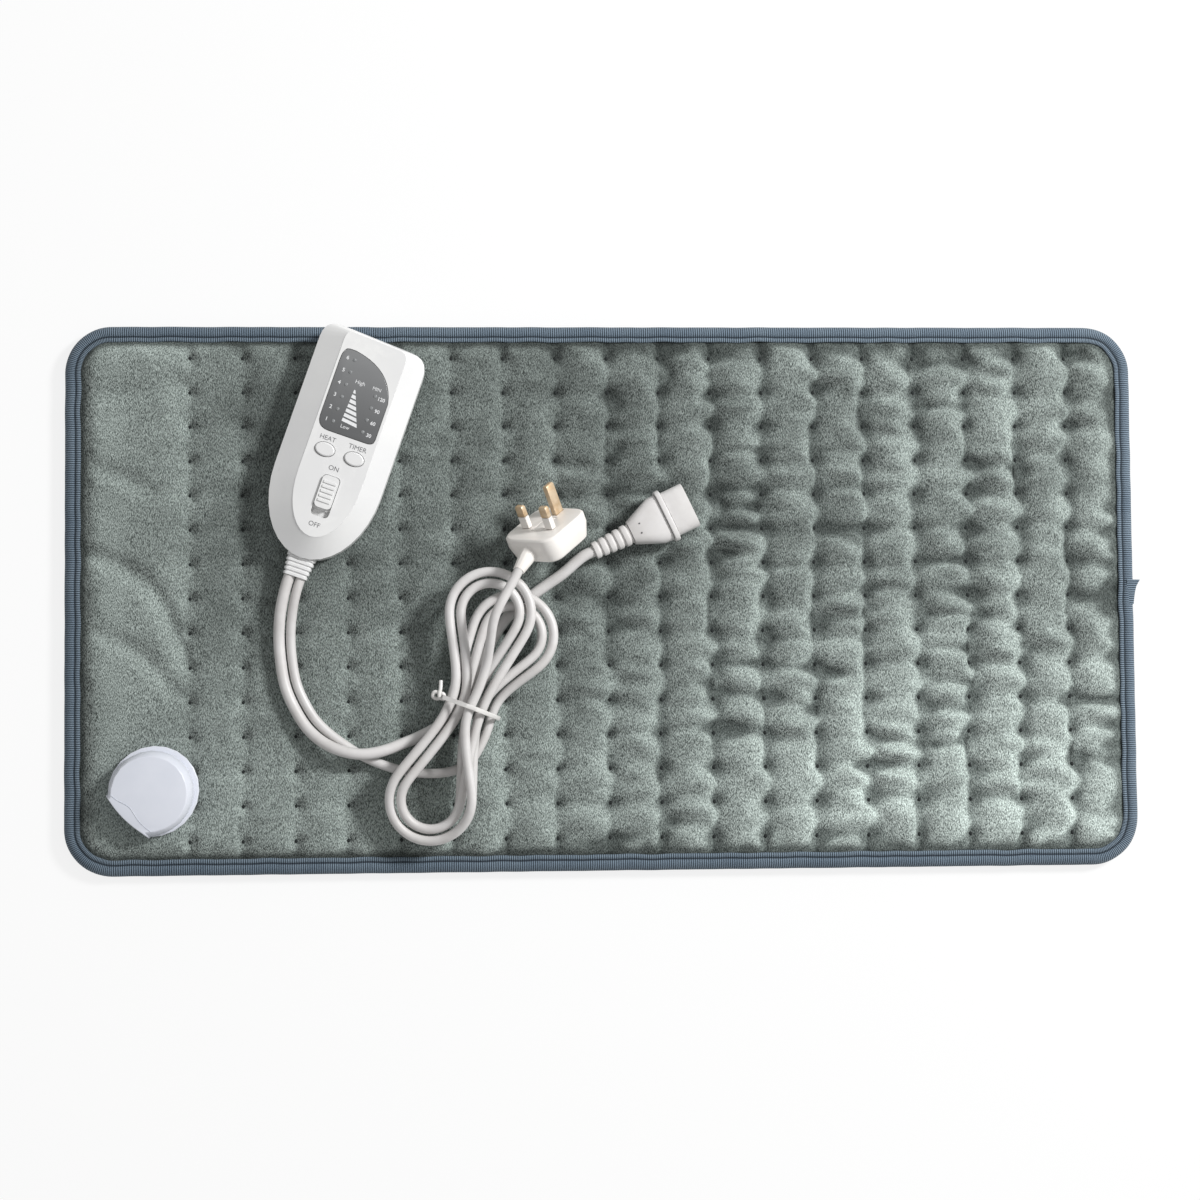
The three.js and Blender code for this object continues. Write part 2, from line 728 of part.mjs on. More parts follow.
// Display window: straight sides, one wide arc at the upper right and round lower corners
function windowOutline(inset) {
  const left = WINDOW_LEFT + inset;
  const right = WINDOW_RIGHT - inset;
  const top = CASE_HALF - WINDOW_TOP - inset;
  const bottom = CASE_HALF - WINDOW_BOTTOM + inset;
  const small = WINDOW_CORNER / 2;
  return [
    ...bezier([right, bottom + small], [right, bottom], [right - small, bottom], 3).reverse(),
    ...bezier([right, top - WINDOW_ARC], [right - small, top - small], [left + WINDOW_CORNER, top], 10),
    ...bezier([left + small, top], [left, top], [left, top - WINDOW_CORNER], 4),
    ...bezier([left, bottom + WINDOW_CORNER], [left, bottom], [left + WINDOW_CORNER, bottom], 5),
  ];
}

const lampPlaces = [];
for (let lamp = 0; lamp < HEAT_LAMPS; lamp += 1) {
  const y = CASE_HALF - HEAT_LAMP_START - lamp * HEAT_LAMP_STEP;
  lampPlaces.push({ name: `heat_led_${lamp + 1}`, x: HEAT_LAMP_X, y });
}
for (let lamp = 0; lamp < TIMER_LAMPS; lamp += 1) {
  const y = CASE_HALF - TIMER_LAMP_START - lamp * TIMER_LAMP_STEP;
  lampPlaces.push({ name: `timer_led_${lamp + 1}`, x: TIMER_LAMP_X, y });
}
const buttonY = CASE_HALF - BUTTON_FROM_TOP;
const buttonPlaces = [
  { name: 'heat', x: HEAT_BUTTON_X },
  { name: 'timer', x: TIMER_BUTTON_X },
];
const sliderY = CASE_HALF - SLIDER_FROM_TOP;
const screwX = CASE_WIDTH / 2 - SCREW_INSET;
const upperScrewY = CASE_HALF - SCREW_FROM_TOP;
const screwPlaces = [
  [-screwX, upperScrewY],
  [screwX, upperScrewY],
  [-screwX, upperScrewY - SCREW_SPACING],
  [screwX, upperScrewY - SCREW_SPACING],
];
const SCREW_TIP = PART_BOTTOM + SCREW_BITE;
const SCREW_HOLE = SCREW_DIAMETER + 2 * FIT;

function acrossGland(width, height, y) {
  const outline = roundedRectangle(width, height, height * GLAND_ROUND, 3);
  return outline.map((point) => new THREE.Vector3(point.x, y, GLAND_CENTRE + point.y));
}

// The opening in the case that the gland sits in
function glandOpening() {
  const width = GLAND_WIDTH + 2 * FIT;
  const height = GLAND_HEIGHT + 2 * FIT;
  const inside = -CASE_HALF + GLAND_INSIDE;
  return loft([acrossGland(width, height, inside), acrossGland(width, height, -CASE_HALF - REACH_PAST)]);
}

function lowerCase() {
  const shell = loft([
    atHeight(caseOutline(LOWER_ROUND), 0),
    atHeight(caseOutline(LOWER_ROUND * ROUND_SHARE), LOWER_ROUND * ROUND_SHARE),
    atHeight(caseOutline(0), LOWER_ROUND),
    atHeight(caseOutline(0), LOWER_HEIGHT),
  ]);
  const hollow = loft([
    atHeight(caseOutline(CASE_WALL + LOWER_ROUND), CASE_WALL),
    atHeight(caseOutline(CASE_WALL), CASE_WALL + LOWER_ROUND),
    atHeight(caseOutline(CASE_WALL), LOWER_HEIGHT + REACH_PAST),
  ]);
  const bosses = screwPlaces.map(([x, y]) => rod(BOSS_DIAMETER, CASE_WALL / 2, BOARD_HEIGHT - FIT, x, y));
  const holeTop = BOARD_HEIGHT + REACH_PAST;
  const holes = screwPlaces.map(([x, y]) => rod(SCREW_HOLE, -REACH_PAST, holeTop, x, y, 10));
  const headTop = SCREW_SINK + SCREW_HEAD_HEIGHT + FIT;
  const sinks = screwPlaces.map(([x, y]) => rod(SCREW_HEAD + 2 * FIT, -REACH_PAST, headTop, x, y));
  return cut(join(cut(shell, [hollow]), bosses), [...holes, ...sinks, glandOpening()]);
}

function upperCase() {
  const bottom = LOWER_HEIGHT + FIT;
  const shell = loft([
    atHeight(caseOutline(0), bottom),
    atHeight(caseOutline(0), SIDE_HEIGHT),
    atHeight(plateauOutline(0), CASE_HEIGHT - CASE_EDGE),
    atHeight(plateauOutline(CASE_EDGE), CASE_HEIGHT),
  ]);
  const hollow = loft([
    atHeight(caseOutline(CASE_WALL), bottom - REACH_PAST),
    atHeight(caseOutline(CASE_WALL), SIDE_HEIGHT - CASE_WALL / 2),
    atHeight(plateauOutline(CASE_WALL), ROOF),
  ]);
  const slotLength = SLIDER_LENGTH + SLIDER_TRAVEL + 2 * FIT;
  const slot = roundedRectangle(
    SLIDER_WIDTH + 2 * FIT,
    slotLength,
    SLIDER_WIDTH / 4,
    3,
    SLIDER_X,
    sliderY - SLIDER_TRAVEL / 2,
  );
  const past = CASE_HEIGHT + REACH_PAST;
  const below = ROOF - REACH_PAST;
  const buttonHole = (x) => ellipse(BUTTON_WIDTH + 2 * FIT, BUTTON_DEPTH + 2 * FIT, x, buttonY);
  const openings = [
    prism(windowOutline(0), RECESS_FLOOR, past),
    prism(slot, below, past),
    ...lampPlaces.map(({ x, y }) => rod(LAMP_DIAMETER + 2 * FIT, below, past, x, y, 10)),
    ...buttonPlaces.map(({ x }) => prism(buttonHole(x), below, past)),
    ...screwPlaces.map(([x, y]) => rod(SCREW_HOLE, PART_BOTTOM - REACH_PAST, SCREW_TIP + FIT, x, y, 10)),
    glandOpening(),
  ];
  const bossDiameter = BOSS_DIAMETER - CASE_WALL / 2;
  const bosses = screwPlaces.map(([x, y]) => rod(bossDiameter, PART_BOTTOM, SCREW_TIP + FIT, x, y));
  return cut(join(cut(shell, [hollow]), bosses), openings);
}

function caseScrew(x, y) {
  const headTop = SCREW_SINK + SCREW_HEAD_HEIGHT;
  const profile = [
    [0, SCREW_SINK],
    [SCREW_HEAD / 2, SCREW_SINK],
    [SCREW_HEAD / 2, headTop],
    [SCREW_DIAMETER / 2, headTop],
    [SCREW_DIAMETER / 2, SCREW_TIP],
    [0, SCREW_TIP],
  ];
  const lathe = new THREE.LatheGeometry(profile.map((point) => new THREE.Vector2(...point)), 12);
  return lathe.rotateX(Math.PI / 2).translate(x, y, 0);
}

function circuitBoard() {
  const lowerInset = BOARD_INSET + GLAND_INSIDE;
  const plate = prism(caseOutline(BOARD_INSET, lowerInset), BOARD_HEIGHT, BOARD_TOP);
  const low = BOARD_HEIGHT - REACH_PAST;
  const high = BOARD_TOP + REACH_PAST;
  return cut(plate, screwPlaces.map(([x, y]) => rod(SCREW_HOLE, low, high, x, y, 10)));
}

// A button cap with a lip that holds it under the roof
function pressButton(x) {
  const lip = ellipse(BUTTON_WIDTH + 2 * FLANGE_LIP, BUTTON_DEPTH + 2 * FLANGE_LIP, x, buttonY);
  const cap = ellipse(BUTTON_WIDTH, BUTTON_DEPTH, x, buttonY);
  const top = CASE_HEIGHT + BUTTON_PROUD;
  const crown = ellipse(BUTTON_WIDTH - BUTTON_PROUD, BUTTON_DEPTH - BUTTON_PROUD, x, buttonY);
  return loft([
    atHeight(lip, FLANGE_BOTTOM),
    atHeight(lip, FLANGE_TOP),
    atHeight(cap, FLANGE_TOP),
    atHeight(cap, top - BUTTON_PROUD / 2),
    atHeight(crown, top),
  ]);
}

function powerSlider() {
  const top = CASE_HEIGHT + SLIDER_PROUD;
  const outline = (grow) => {
    const radius = SLIDER_WIDTH / 4;
    return roundedRectangle(SLIDER_WIDTH + grow, SLIDER_LENGTH + grow, radius, 3, SLIDER_X, sliderY);
  };
  const body = outline(0);
  const flange = outline(2 * FLANGE_LIP);
  const knob = loft([
    atHeight(flange, FLANGE_BOTTOM),
    atHeight(flange, FLANGE_TOP),
    atHeight(body, FLANGE_TOP),
    atHeight(body, top),
  ]);
  const pitch = SLIDER_LENGTH / (SLIDER_RIDGES + 2);
  const ridges = [];
  for (let ridge = 0; ridge < SLIDER_RIDGES; ridge += 1) {
    const y = sliderY + (ridge - (SLIDER_RIDGES - 1) / 2) * pitch;
    ridges.push(box(SLIDER_WIDTH - pitch, pitch / 2, top - RIDGE_HEIGHT, top + RIDGE_HEIGHT, SLIDER_X, y));
  }
  return join(knob, ridges);
}

// A flange behind the case wall, a plain neck through it and ribs outside
function cordGland() {
  const inside = -CASE_HALF + GLAND_INSIDE;
  const lip = 2 * GLAND_FLANGE;
  const outside = -CASE_HALF - FIT;
  const rings = [
    acrossGland(GLAND_WIDTH + lip, GLAND_HEIGHT + FLANGE_LIP, inside + FIT + GLAND_FLANGE),
    acrossGland(GLAND_WIDTH + lip, GLAND_HEIGHT + FLANGE_LIP, inside + FIT),
    acrossGland(GLAND_WIDTH, GLAND_HEIGHT, inside + FIT),
    acrossGland(GLAND_WIDTH, GLAND_HEIGHT, outside),
  ];
  const pitch = (GLAND_OUTSIDE - FIT) / GLAND_RIBS;
  for (let rib = 0; rib < GLAND_RIBS; rib += 1) {
    const taper = 1 - ((1 - GLAND_TIP) * (rib + 1)) / GLAND_RIBS;
    const ridge = [GLAND_WIDTH * taper, GLAND_HEIGHT * taper];
    const groove = ridge.map((size) => size - GLAND_GROOVE);
    const start = outside - rib * pitch;
    rings.push(acrossGland(...groove, start - pitch * RIB_SLOPE));
    rings.push(acrossGland(...groove, start - pitch * (GROOVE_SHARE - RIB_SLOPE)));
    rings.push(acrossGland(...ridge, start - pitch * GROOVE_SHARE));
    rings.push(acrossGland(...ridge, start - pitch));
  }
  return loft(rings);
}

const handset = new THREE.Group();

function buildHandset() {
  handset.position.set(CASE_X, CASE_Y, REST_HEIGHT);
  handset.rotation.z = CASE_TURN;
  model.add(handset);
  place(handset, 'lower_case', lowerCase(), materials.whitePlastic);
  place(handset, 'upper_case', upperCase(), materials.whitePlastic);
  place(handset, 'display_lens', prism(windowOutline(FIT), RECESS_FLOOR + FIT, CASE_HEIGHT), materials.lens);
  place(handset, 'circuit_board', circuitBoard(), materials.board);
  lampPlaces.forEach(({ name, x, y }) => {
    place(handset, name, rod(LAMP_DIAMETER, PART_BOTTOM, RECESS_FLOOR - FIT, x, y, 10), materials.lamp);
  });
  const switchTop = FLANGE_BOTTOM - BUTTON_TRAVEL - FIT;
  buttonPlaces.forEach(({ name, x }) => {
    place(handset, `${name}_button`, pressButton(x), materials.whitePlastic);
    const press = box(SWITCH_SIZE, SWITCH_SIZE, PART_BOTTOM, switchTop, x, buttonY);
    place(handset, `${name}_switch`, press, materials.black);
  });
  place(handset, 'power_slider', powerSlider(), materials.whitePlastic);
  const slideSwitch = box(SLIDER_WIDTH, SLIDER_LENGTH, PART_BOTTOM, FLANGE_BOTTOM - FIT, SLIDER_X, sliderY);
  place(handset, 'slide_switch', slideSwitch, materials.black);
  const chipX = (HEAT_LAMP_X + TIMER_LAMP_X) / 2;
  const chipY = CASE_HALF - TIMER_LAMP_START;
  const chip = box(CHIP_SIZE, CHIP_SIZE, PART_BOTTOM, PART_BOTTOM + CHIP_HEIGHT, chipX, chipY);
  place(handset, 'control_chip', chip, materials.black);
  const hangTop = BOARD_HEIGHT - FIT;
  const capacitorBottom = hangTop - CAPACITOR_HEIGHT;
  const capacitor = rod(CAPACITOR_DIAMETER, capacitorBottom, hangTop, HEAT_BUTTON_X, sliderY);
  place(handset, 'capacitor', capacitor, materials.black);
  const triac = box(TRIAC_WIDTH, TRIAC_DEPTH, hangTop - TRIAC_HEIGHT, hangTop, TIMER_BUTTON_X, sliderY);
  place(handset, 'triac', triac, materials.black);
  screwPlaces.forEach(([x, y], index) => {
    place(handset, `case_screw_${index + 1}`, caseScrew(x, y), materials.steel);
  });
  place(handset, 'cord_gland', cordGland(), materials.whitePlastic);
}
buildHandset();

// Connector on the pad lead, in a frame with its mouth at zero and towards +X
const connector = new THREE.Group();
const COLLAR_START = -SKIRT_LENGTH - COLLAR_LENGTH - 2 * FIT;
const BODY_START = COLLAR_START - BODY_LENGTH;
const BOOT_START = BODY_START - FIT - BOOT_LENGTH;

function acrossX(width, height, x) {
  const outline = roundedRectangle(width, height, height * BODY_ROUND, 4);
  return outline.map((point) => new THREE.Vector3(x, point.x, point.y));
}

function connectorBody() {
  const height = CONNECTOR_HEIGHT - 2 * COLLAR_LIP;
  const skirtWidth = BODY_WIDTH - COLLAR_LIP;
  const groove = [BODY_WIDTH - 2 * COLLAR_LIP, height - 2 * COLLAR_LIP];
  const solid = loft([
    acrossX(BOOT_WIDTH + COLLAR_LIP, height - COLLAR_LIP, BODY_START),
    acrossX((BOOT_WIDTH + BODY_WIDTH) / 2, height, BODY_START + BODY_LENGTH * BODY_NECK),
    acrossX(BODY_WIDTH - COLLAR_LIP / 2, height, BODY_START + BODY_LENGTH * BODY_SHOULDER),
    acrossX(BODY_WIDTH, height, COLLAR_START),
    acrossX(...groove, COLLAR_START),
    acrossX(...groove, -SKIRT_LENGTH),
    acrossX(skirtWidth, height, -SKIRT_LENGTH),
    acrossX(skirtWidth, height, 0),
  ]);
  const boreRadius = CONTACT_BORE / 2;
  const bores = [-1, 1].map((side) => {
    const bore = new THREE.CylinderGeometry(boreRadius, boreRadius, CONTACT_DEPTH + REACH_PAST, 10);
    return bore.rotateZ(Math.PI / 2).translate((REACH_PAST - CONTACT_DEPTH) / 2, (side * PIN_PITCH) / 2, 0);
  });
  return cut(solid, bores);
}

function connectorCollar() {
  const bodyHeight = CONNECTOR_HEIGHT - 2 * COLLAR_LIP;
  const outer = [BODY_WIDTH + 2 * COLLAR_LIP, CONNECTOR_HEIGHT];
  const inner = [BODY_WIDTH - 2 * COLLAR_LIP + 2 * FIT, bodyHeight - 2 * COLLAR_LIP + 2 * FIT];
  const start = COLLAR_START + FIT;
  const end = -SKIRT_LENGTH - FIT;
  const rings = [
    acrossX(...outer, start),
    acrossX(...outer, end),
    acrossX(...inner, end),
    acrossX(...inner, start),
  ];
  return loft(rings, { joined: true });
}

function connectorBoot() {
  const tip = PAD_LEAD_DIAMETER + 2 * COLLAR_LIP;
  const pitch = BOOT_LENGTH / BOOT_RIBS;
  const rings = [];
  for (let rib = 0; rib < BOOT_RIBS; rib += 1) {
    const width = tip + ((BOOT_WIDTH - tip) * (rib + 1)) / BOOT_RIBS;
    const start = BOOT_START + rib * pitch;
    rings.push(acrossX(width, width - COLLAR_LIP, start));
    const groove = [width - COLLAR_LIP, width - 2 * COLLAR_LIP];
    rings.push(acrossX(width, width - COLLAR_LIP, start + pitch * BOOT_RIB_SHARE));
    rings.push(acrossX(...groove, start + pitch * (BOOT_RIB_SHARE + RIB_SLOPE)));
    rings.push(acrossX(...groove, start + pitch * (1 - RIB_SLOPE / 2)));
  }
  rings.push(acrossX(BOOT_WIDTH, BOOT_WIDTH - COLLAR_LIP, BODY_START - FIT));
  return loft(rings);
}

function buildConnector() {
  connector.position.set(CONNECTOR_X, CONNECTOR_Y, REST_HEIGHT + CONNECTOR_HEIGHT / 2);
  connector.rotation.z = CONNECTOR_TURN;
  model.add(connector);
  place(connector, 'connector_boot', connectorBoot(), materials.cord);
  place(connector, 'connector_body', connectorBody(), materials.cord);
  place(connector, 'connector_collar', connectorCollar(), materials.cord);
}
buildConnector();

// Plug, in a frame with its pins towards +Z, its earth pin towards +Y and its cord towards -Y
const plug = new THREE.Group();
const GRIP_SLOPE = PLUG_GRIP / 5;
const NECK_HEIGHT = -PLUG_BASE - GRIP_SLOPE;
const linePins = [
  { name: 'neutral', x: -PLUG_PIN_PITCH / 2 },
  { name: 'live', x: PLUG_PIN_PITCH / 2 },
];
const earthY = EARTH_OFFSET - LINE_OFFSET;
const core = [LINE_PIN_WIDTH - 2 * (SLEEVE_WALL + FIT), LINE_PIN_THICK - 2 * (SLEEVE_WALL + FIT)];

function rectangle(width, depth, x, y) {
  const right = x + width / 2;
  const back = y + depth / 2;
  const left = x - width / 2;
  const front = y - depth / 2;
  return [
    new THREE.Vector2(right, back),
    new THREE.Vector2(left, back),
    new THREE.Vector2(left, front),
    new THREE.Vector2(right, front),
  ];
}

function neckRing(diameter, distance) {
  const along = new THREE.Vector3(0, -1, -NECK_LEAN).normalize();
  const up = new THREE.Vector3(1, 0, 0).cross(along);
  const centre = new THREE.Vector3(0, -PLUG_LENGTH / 2, NECK_HEIGHT).addScaledVector(along, distance);
  const steps = 12;
  const ring = [];
  for (let step = 0; step < steps; step += 1) {
    const angle = (step * 2 * Math.PI) / steps;
    const point = centre.clone().addScaledVector(up, (Math.sin(angle) * diameter) / 2);
    ring.push(point.add(new THREE.Vector3((Math.cos(angle) * diameter) / 2, 0, 0)));
  }
  return ring;
}

function plugBody() {
  const outline = (inset) => {
    return roundedRectangle(PLUG_WIDTH - 2 * inset, PLUG_LENGTH - 2 * inset, PLUG_CORNER - inset / 2, 5);
  };
  const shell = loft([
    atHeight(outline(PLUG_GRIP / 2), -PLUG_BASE - PLUG_GRIP),
    atHeight(outline(GRIP_SLOPE), -PLUG_BASE - PLUG_GRIP + GRIP_SLOPE),
    atHeight(outline(0), -PLUG_BASE),
    atHeight(outline(0), -PLUG_EDGE),
    atHeight(outline(PLUG_EDGE), 0),
  ]);
  const tip = MAINS_LEAD_DIAMETER + 2 * SLEEVE_WALL;
  const neck = loft([
    neckRing(NECK_DIAMETER, -PLUG_CORNER),
    neckRing(NECK_DIAMETER, NECK_LENGTH / 4),
    neckRing(tip, NECK_LENGTH),
  ]);
  const seat = -PIN_SEAT - FIT;
  const lineSlots = linePins.map(({ x }) => {
    return prism(rectangle(core[0] + 2 * FIT, core[1] + 2 * FIT, x, -LINE_OFFSET), seat, REACH_PAST);
  });
  const earthSlot = rectangle(EARTH_PIN_WIDTH + 2 * FIT, EARTH_PIN_THICK + 2 * FIT, 0, earthY);
  const fuseSlot = rectangle(FUSE_WIDTH + 2 * FIT, FUSE_LENGTH + 2 * FIT, 0, 0);
  const cuts = [
    ...lineSlots,
    prism(earthSlot, seat, REACH_PAST),
    prism(fuseSlot, -FUSE_DEPTH - FIT, REACH_PAST),
  ];
  return cut(join(shell, [neck]), cuts);
}

function linePin(x) {
  const thin = rectangle(...core, x, -LINE_OFFSET);
  const full = rectangle(LINE_PIN_WIDTH, LINE_PIN_THICK, x, -LINE_OFFSET);
  const point = rectangle(LINE_PIN_WIDTH - PIN_POINT, LINE_PIN_THICK - PIN_POINT, x, -LINE_OFFSET);
  const sleeveEnd = SLEEVE_LENGTH + FIT;
  return loft([
    atHeight(thin, -PIN_SEAT),
    atHeight(thin, sleeveEnd),
    atHeight(full, sleeveEnd),
    atHeight(full, LINE_PIN_LENGTH - PIN_POINT),
    atHeight(point, LINE_PIN_LENGTH),
  ]);
}

function pinSleeve(x) {
  const outer = rectangle(LINE_PIN_WIDTH, LINE_PIN_THICK, x, -LINE_OFFSET);
  const inner = rectangle(core[0] + 2 * FIT, core[1] + 2 * FIT, x, -LINE_OFFSET);
  const rings = [
    atHeight(outer, FIT),
    atHeight(outer, SLEEVE_LENGTH),
    atHeight(inner, SLEEVE_LENGTH),
    atHeight(inner, FIT),
  ];
  return loft(rings, { joined: true });
}

function earthPin() {
  const full = rectangle(EARTH_PIN_WIDTH, EARTH_PIN_THICK, 0, earthY);
  const point = rectangle(EARTH_PIN_WIDTH - PIN_POINT, EARTH_PIN_THICK - PIN_POINT, 0, earthY);
  return loft([
    atHeight(full, -PIN_SEAT),
    atHeight(full, EARTH_PIN_LENGTH - PIN_POINT),
    atHeight(point, EARTH_PIN_LENGTH),
  ]);
}

function buildPlug() {
  const towardsEarth = new THREE.Vector3(...PLUG_EARTH_WAY).normalize();
  const alongPins = new THREE.Vector3(...PLUG_PIN_WAY);
  const acrossPins = new THREE.Vector3().crossVectors(towardsEarth, alongPins).normalize();
  alongPins.crossVectors(acrossPins, towardsEarth);
  plug.setRotationFromMatrix(new THREE.Matrix4().makeBasis(acrossPins, towardsEarth, alongPins));
  plug.position.set(PLUG_X, PLUG_Y, 0);
  model.add(plug);
  place(plug, 'plug_body', plugBody(), materials.plug);
  linePins.forEach(({ name, x }) => {
    place(plug, `${name}_pin`, linePin(x), materials.brass);
    place(plug, `${name}_sleeve`, pinSleeve(x), materials.plug);
  });
  place(plug, 'earth_pin', earthPin(), materials.brass);
  const fuse = box(FUSE_WIDTH, FUSE_LENGTH, -FUSE_DEPTH, 0);
  place(plug, 'fuse_carrier', fuse, materials.plug);
  plug.updateMatrixWorld(true);
  plug.position.z = REST_HEIGHT - new THREE.Box3().setFromObject(plug, true).min.z;
}
buildPlug();
model.updateMatrixWorld(true);

// Hank, in a frame with its waist at the tie, u across to the right and v along to the upper folds
const hank = new THREE.Group();
const FOLD_PITCH = MAINS_LEAD_DIAMETER + FOLD_GAP;
const WAIST_PITCH = MAINS_LEAD_DIAMETER + WAIST_GAP;
const LAYER_PITCH = MAINS_LEAD_DIAMETER + LAYER_GAP;
const WAIST_FLOOR = REST_HEIGHT + TIE_THICK + FIT;

function layerHeight(layer) {
  if (layer <= 0) return WAIST_FLOOR + MAINS_LEAD_DIAMETER / 2;
  return WAIST_FLOOR + PAD_LEAD_DIAMETER + CORD_GAP + MAINS_LEAD_DIAMETER / 2 + (layer - 1) * LAYER_PITCH;
}

function hankPoint(u, v, layer) {
  const low = layerHeight(0);
  const first = layerHeight(1);
  const height = layer < 1 ? low + (first - low) * layer : layerHeight(layer);
  const drop = first - REST_HEIGHT - MAINS_LEAD_DIAMETER / 2 - FIT;
  const droop = drop * THREE.MathUtils.smoothstep(-v, DROOP_START, DROOP_END);
  return new THREE.Vector3(u, v, height - droop);
}

// Columns at the waist count from the right
function waist(column) {
  return (1.5 - column) * WAIST_PITCH;
}

// One lobe, from one column round a fold and back to another, always turning left
function lobePoints(side, from, to, fold) {
  const { reach, lean, radius } = fold;
  const centre = new THREE.Vector2(Math.sin(lean), side * Math.cos(lean)).multiplyScalar(reach);
  const start = new THREE.Vector2(waist(from.column), side * WAIST_RUN);
  const end = new THREE.Vector2(waist(to.column), side * WAIST_RUN);
  const towards = centre.clone().sub(start);
  const entering = towards.angle() - Math.asin(radius / towards.length());
  const back = centre.clone().sub(end);
  const leaving = back.angle() + Math.asin(radius / back.length());
  const first = entering - Math.PI / 2;
  let last = leaving + Math.PI / 2;
  while (last < first) last += 2 * Math.PI;
  while (last > first + 2 * Math.PI) last -= 2 * Math.PI;
  const arcSteps = LOOP_STEPS / 2 - 3;
  const points = [hankPoint(start.x, start.y, from.layer)];
  for (let step = 0; step <= arcSteps; step += 1) {
    const share = step / arcSteps;
    const angle = first + (last - first) * share;
    const late = THREE.MathUtils.smoothstep(share, CLIMB_START, 1);
    const layer = side > 0 ? to.layer : from.layer + (to.layer - from.layer) * late;
    points.push(hankPoint(centre.x + radius * Math.cos(angle), centre.y + radius * Math.sin(angle), layer));
  }
  points.push(hankPoint(end.x, end.y, to.layer));
  return points;
}

const innerFold = FOLD_RADIUS;
const outerFold = FOLD_RADIUS + FOLD_PITCH;
const lowerFold = (radius) => ({ reach: LOWER_REACH, lean: 0, radius });
const upperFold1 = (radius) => ({ reach: UPPER_REACH_1, lean: UPPER_LEAN_1, radius });
const upperFold2 = (radius) => ({ reach: UPPER_REACH_2, lean: UPPER_LEAN_2, radius });
const END_RUN = WAIST_RUN + MAINS_LEAD_DIAMETER / 2;
const START_COLUMN = -1;
const END_COLUMN = 1;

// In on the first layer, out again on the second, and away over the top
function hankCentreline() {
  const at = (column, layer) => ({ column, layer });
  return [
    hankPoint(waist(START_COLUMN), -END_RUN, 0),
    ...lobePoints(1, at(START_COLUMN, 0), at(3, 1), upperFold1(outerFold)),
    ...lobePoints(-1, at(3, 1), at(0, 1), lowerFold(outerFold)),
    ...lobePoints(1, at(0, 1), at(2, 1), upperFold1(innerFold)),
    ...lobePoints(-1, at(2, 1), at(1, 1), lowerFold(innerFold)),
    ...lobePoints(1, at(1, 1), at(2, 2), upperFold2(innerFold)),
    ...lobePoints(-1, at(2, 2), at(0, 2), lowerFold(innerFold)),
    ...lobePoints(1, at(0, 2), at(3, 2), upperFold2(outerFold)),
    ...lobePoints(-1, at(3, 2), at(END_COLUMN, 3), lowerFold(outerFold)),
    hankPoint(waist(END_COLUMN), END_RUN, 3),
  ];
}

// Least clear distance between stretches of the hank that aren't neighbours along the cord
function leastGap(points, diameter) {
  const samples = [];
  let travelled = 0;
  for (let index = 0; index + 1 < points.length; index += 1) {
    const length = points[index].distanceTo(points[index + 1]);
    const count = Math.ceil(length / 2);
    for (let step = 0; step < count; step += 1) {
      const point = points[index].clone().lerp(points[index + 1], step / count);
      samples.push({ point, travelled: travelled + (length * step) / count });
    }
    travelled += length;
  }
  let least = Infinity;
  samples.forEach((one, index) => {
    for (let other = index + 1; other < samples.length; other += 1) {
      if (samples[other].travelled - one.travelled > 4 * diameter) {
        least = Math.min(least, one.point.distanceTo(samples[other].point) - diameter);
      }
    }
  });
  return { least, length: travelled };
}

// The tie goes round the waist; its outline follows the layers inside it
function hankTie() {
  const reach = MAINS_LEAD_DIAMETER / 2 + CORD_GAP;
  const outline = (grow) => [
    [waist(2.5), WAIST_FLOOR - FIT - grow],
    [waist(START_COLUMN) + reach + grow, WAIST_FLOOR - FIT - grow],
    [waist(START_COLUMN) + reach + grow, layerHeight(0) + reach],
    [waist(0) + reach + grow, layerHeight(2) + reach],
    [waist(END_COLUMN) + reach, layerHeight(3) + reach + grow],
    [waist(END_COLUMN) - reach, layerHeight(3) + reach + grow],
    [waist(3) - reach - grow, layerHeight(2) + reach],
    [waist(3) - reach - grow, layerHeight(1) - reach],
  ];
  const ring = (grow, v) => outline(grow).map(([u, z]) => new THREE.Vector3(u, v, z));
  const half = TIE_WIDTH / 2;
  const rings = [ring(TIE_THICK, -half), ring(TIE_THICK, half), ring(0, half), ring(0, -half)];
  return loft(rings, { joined: true });
}

const hankLine = hankCentreline();
const hankMeasure = leastGap(hankLine, MAINS_LEAD_DIAMETER);
console.log(`hank: least gap ${hankMeasure.least.toFixed(2)} mm, length ${hankMeasure.length.toFixed(0)} mm`);

function buildHank() {
  hank.position.set(TIE_X, TIE_Y, 0);
  hank.rotation.z = HANK_TURN;
  model.add(hank);
  place(hank, 'mains_lead_hank', tube(hankLine, MAINS_LEAD_DIAMETER, LOOP_SIDES), materials.cord);
  place(hank, 'hank_tie', hankTie(), materials.cord);
}
buildHank();
model.updateMatrixWorld(true);

// Free cords: each starts and ends square to what it meets, with chosen points between
function endPoints(group, point, direction, run) {
  const start = group.localToWorld(point.clone());
  const ahead = group.localToWorld(point.clone().addScaledVector(direction, run));
  return [start, ahead];
}

const glandEnd = -CASE_HALF - GLAND_OUTSIDE - FIT;
const padLeadX = -(MAINS_LEAD_DIAMETER + CORD_GAP) / 2;
const mainsLeadX = padLeadX + (PAD_LEAD_DIAMETER + MAINS_LEAD_DIAMETER) / 2 + CORD_GAP;
const downHandset = new THREE.Vector3(0, -1, 0);

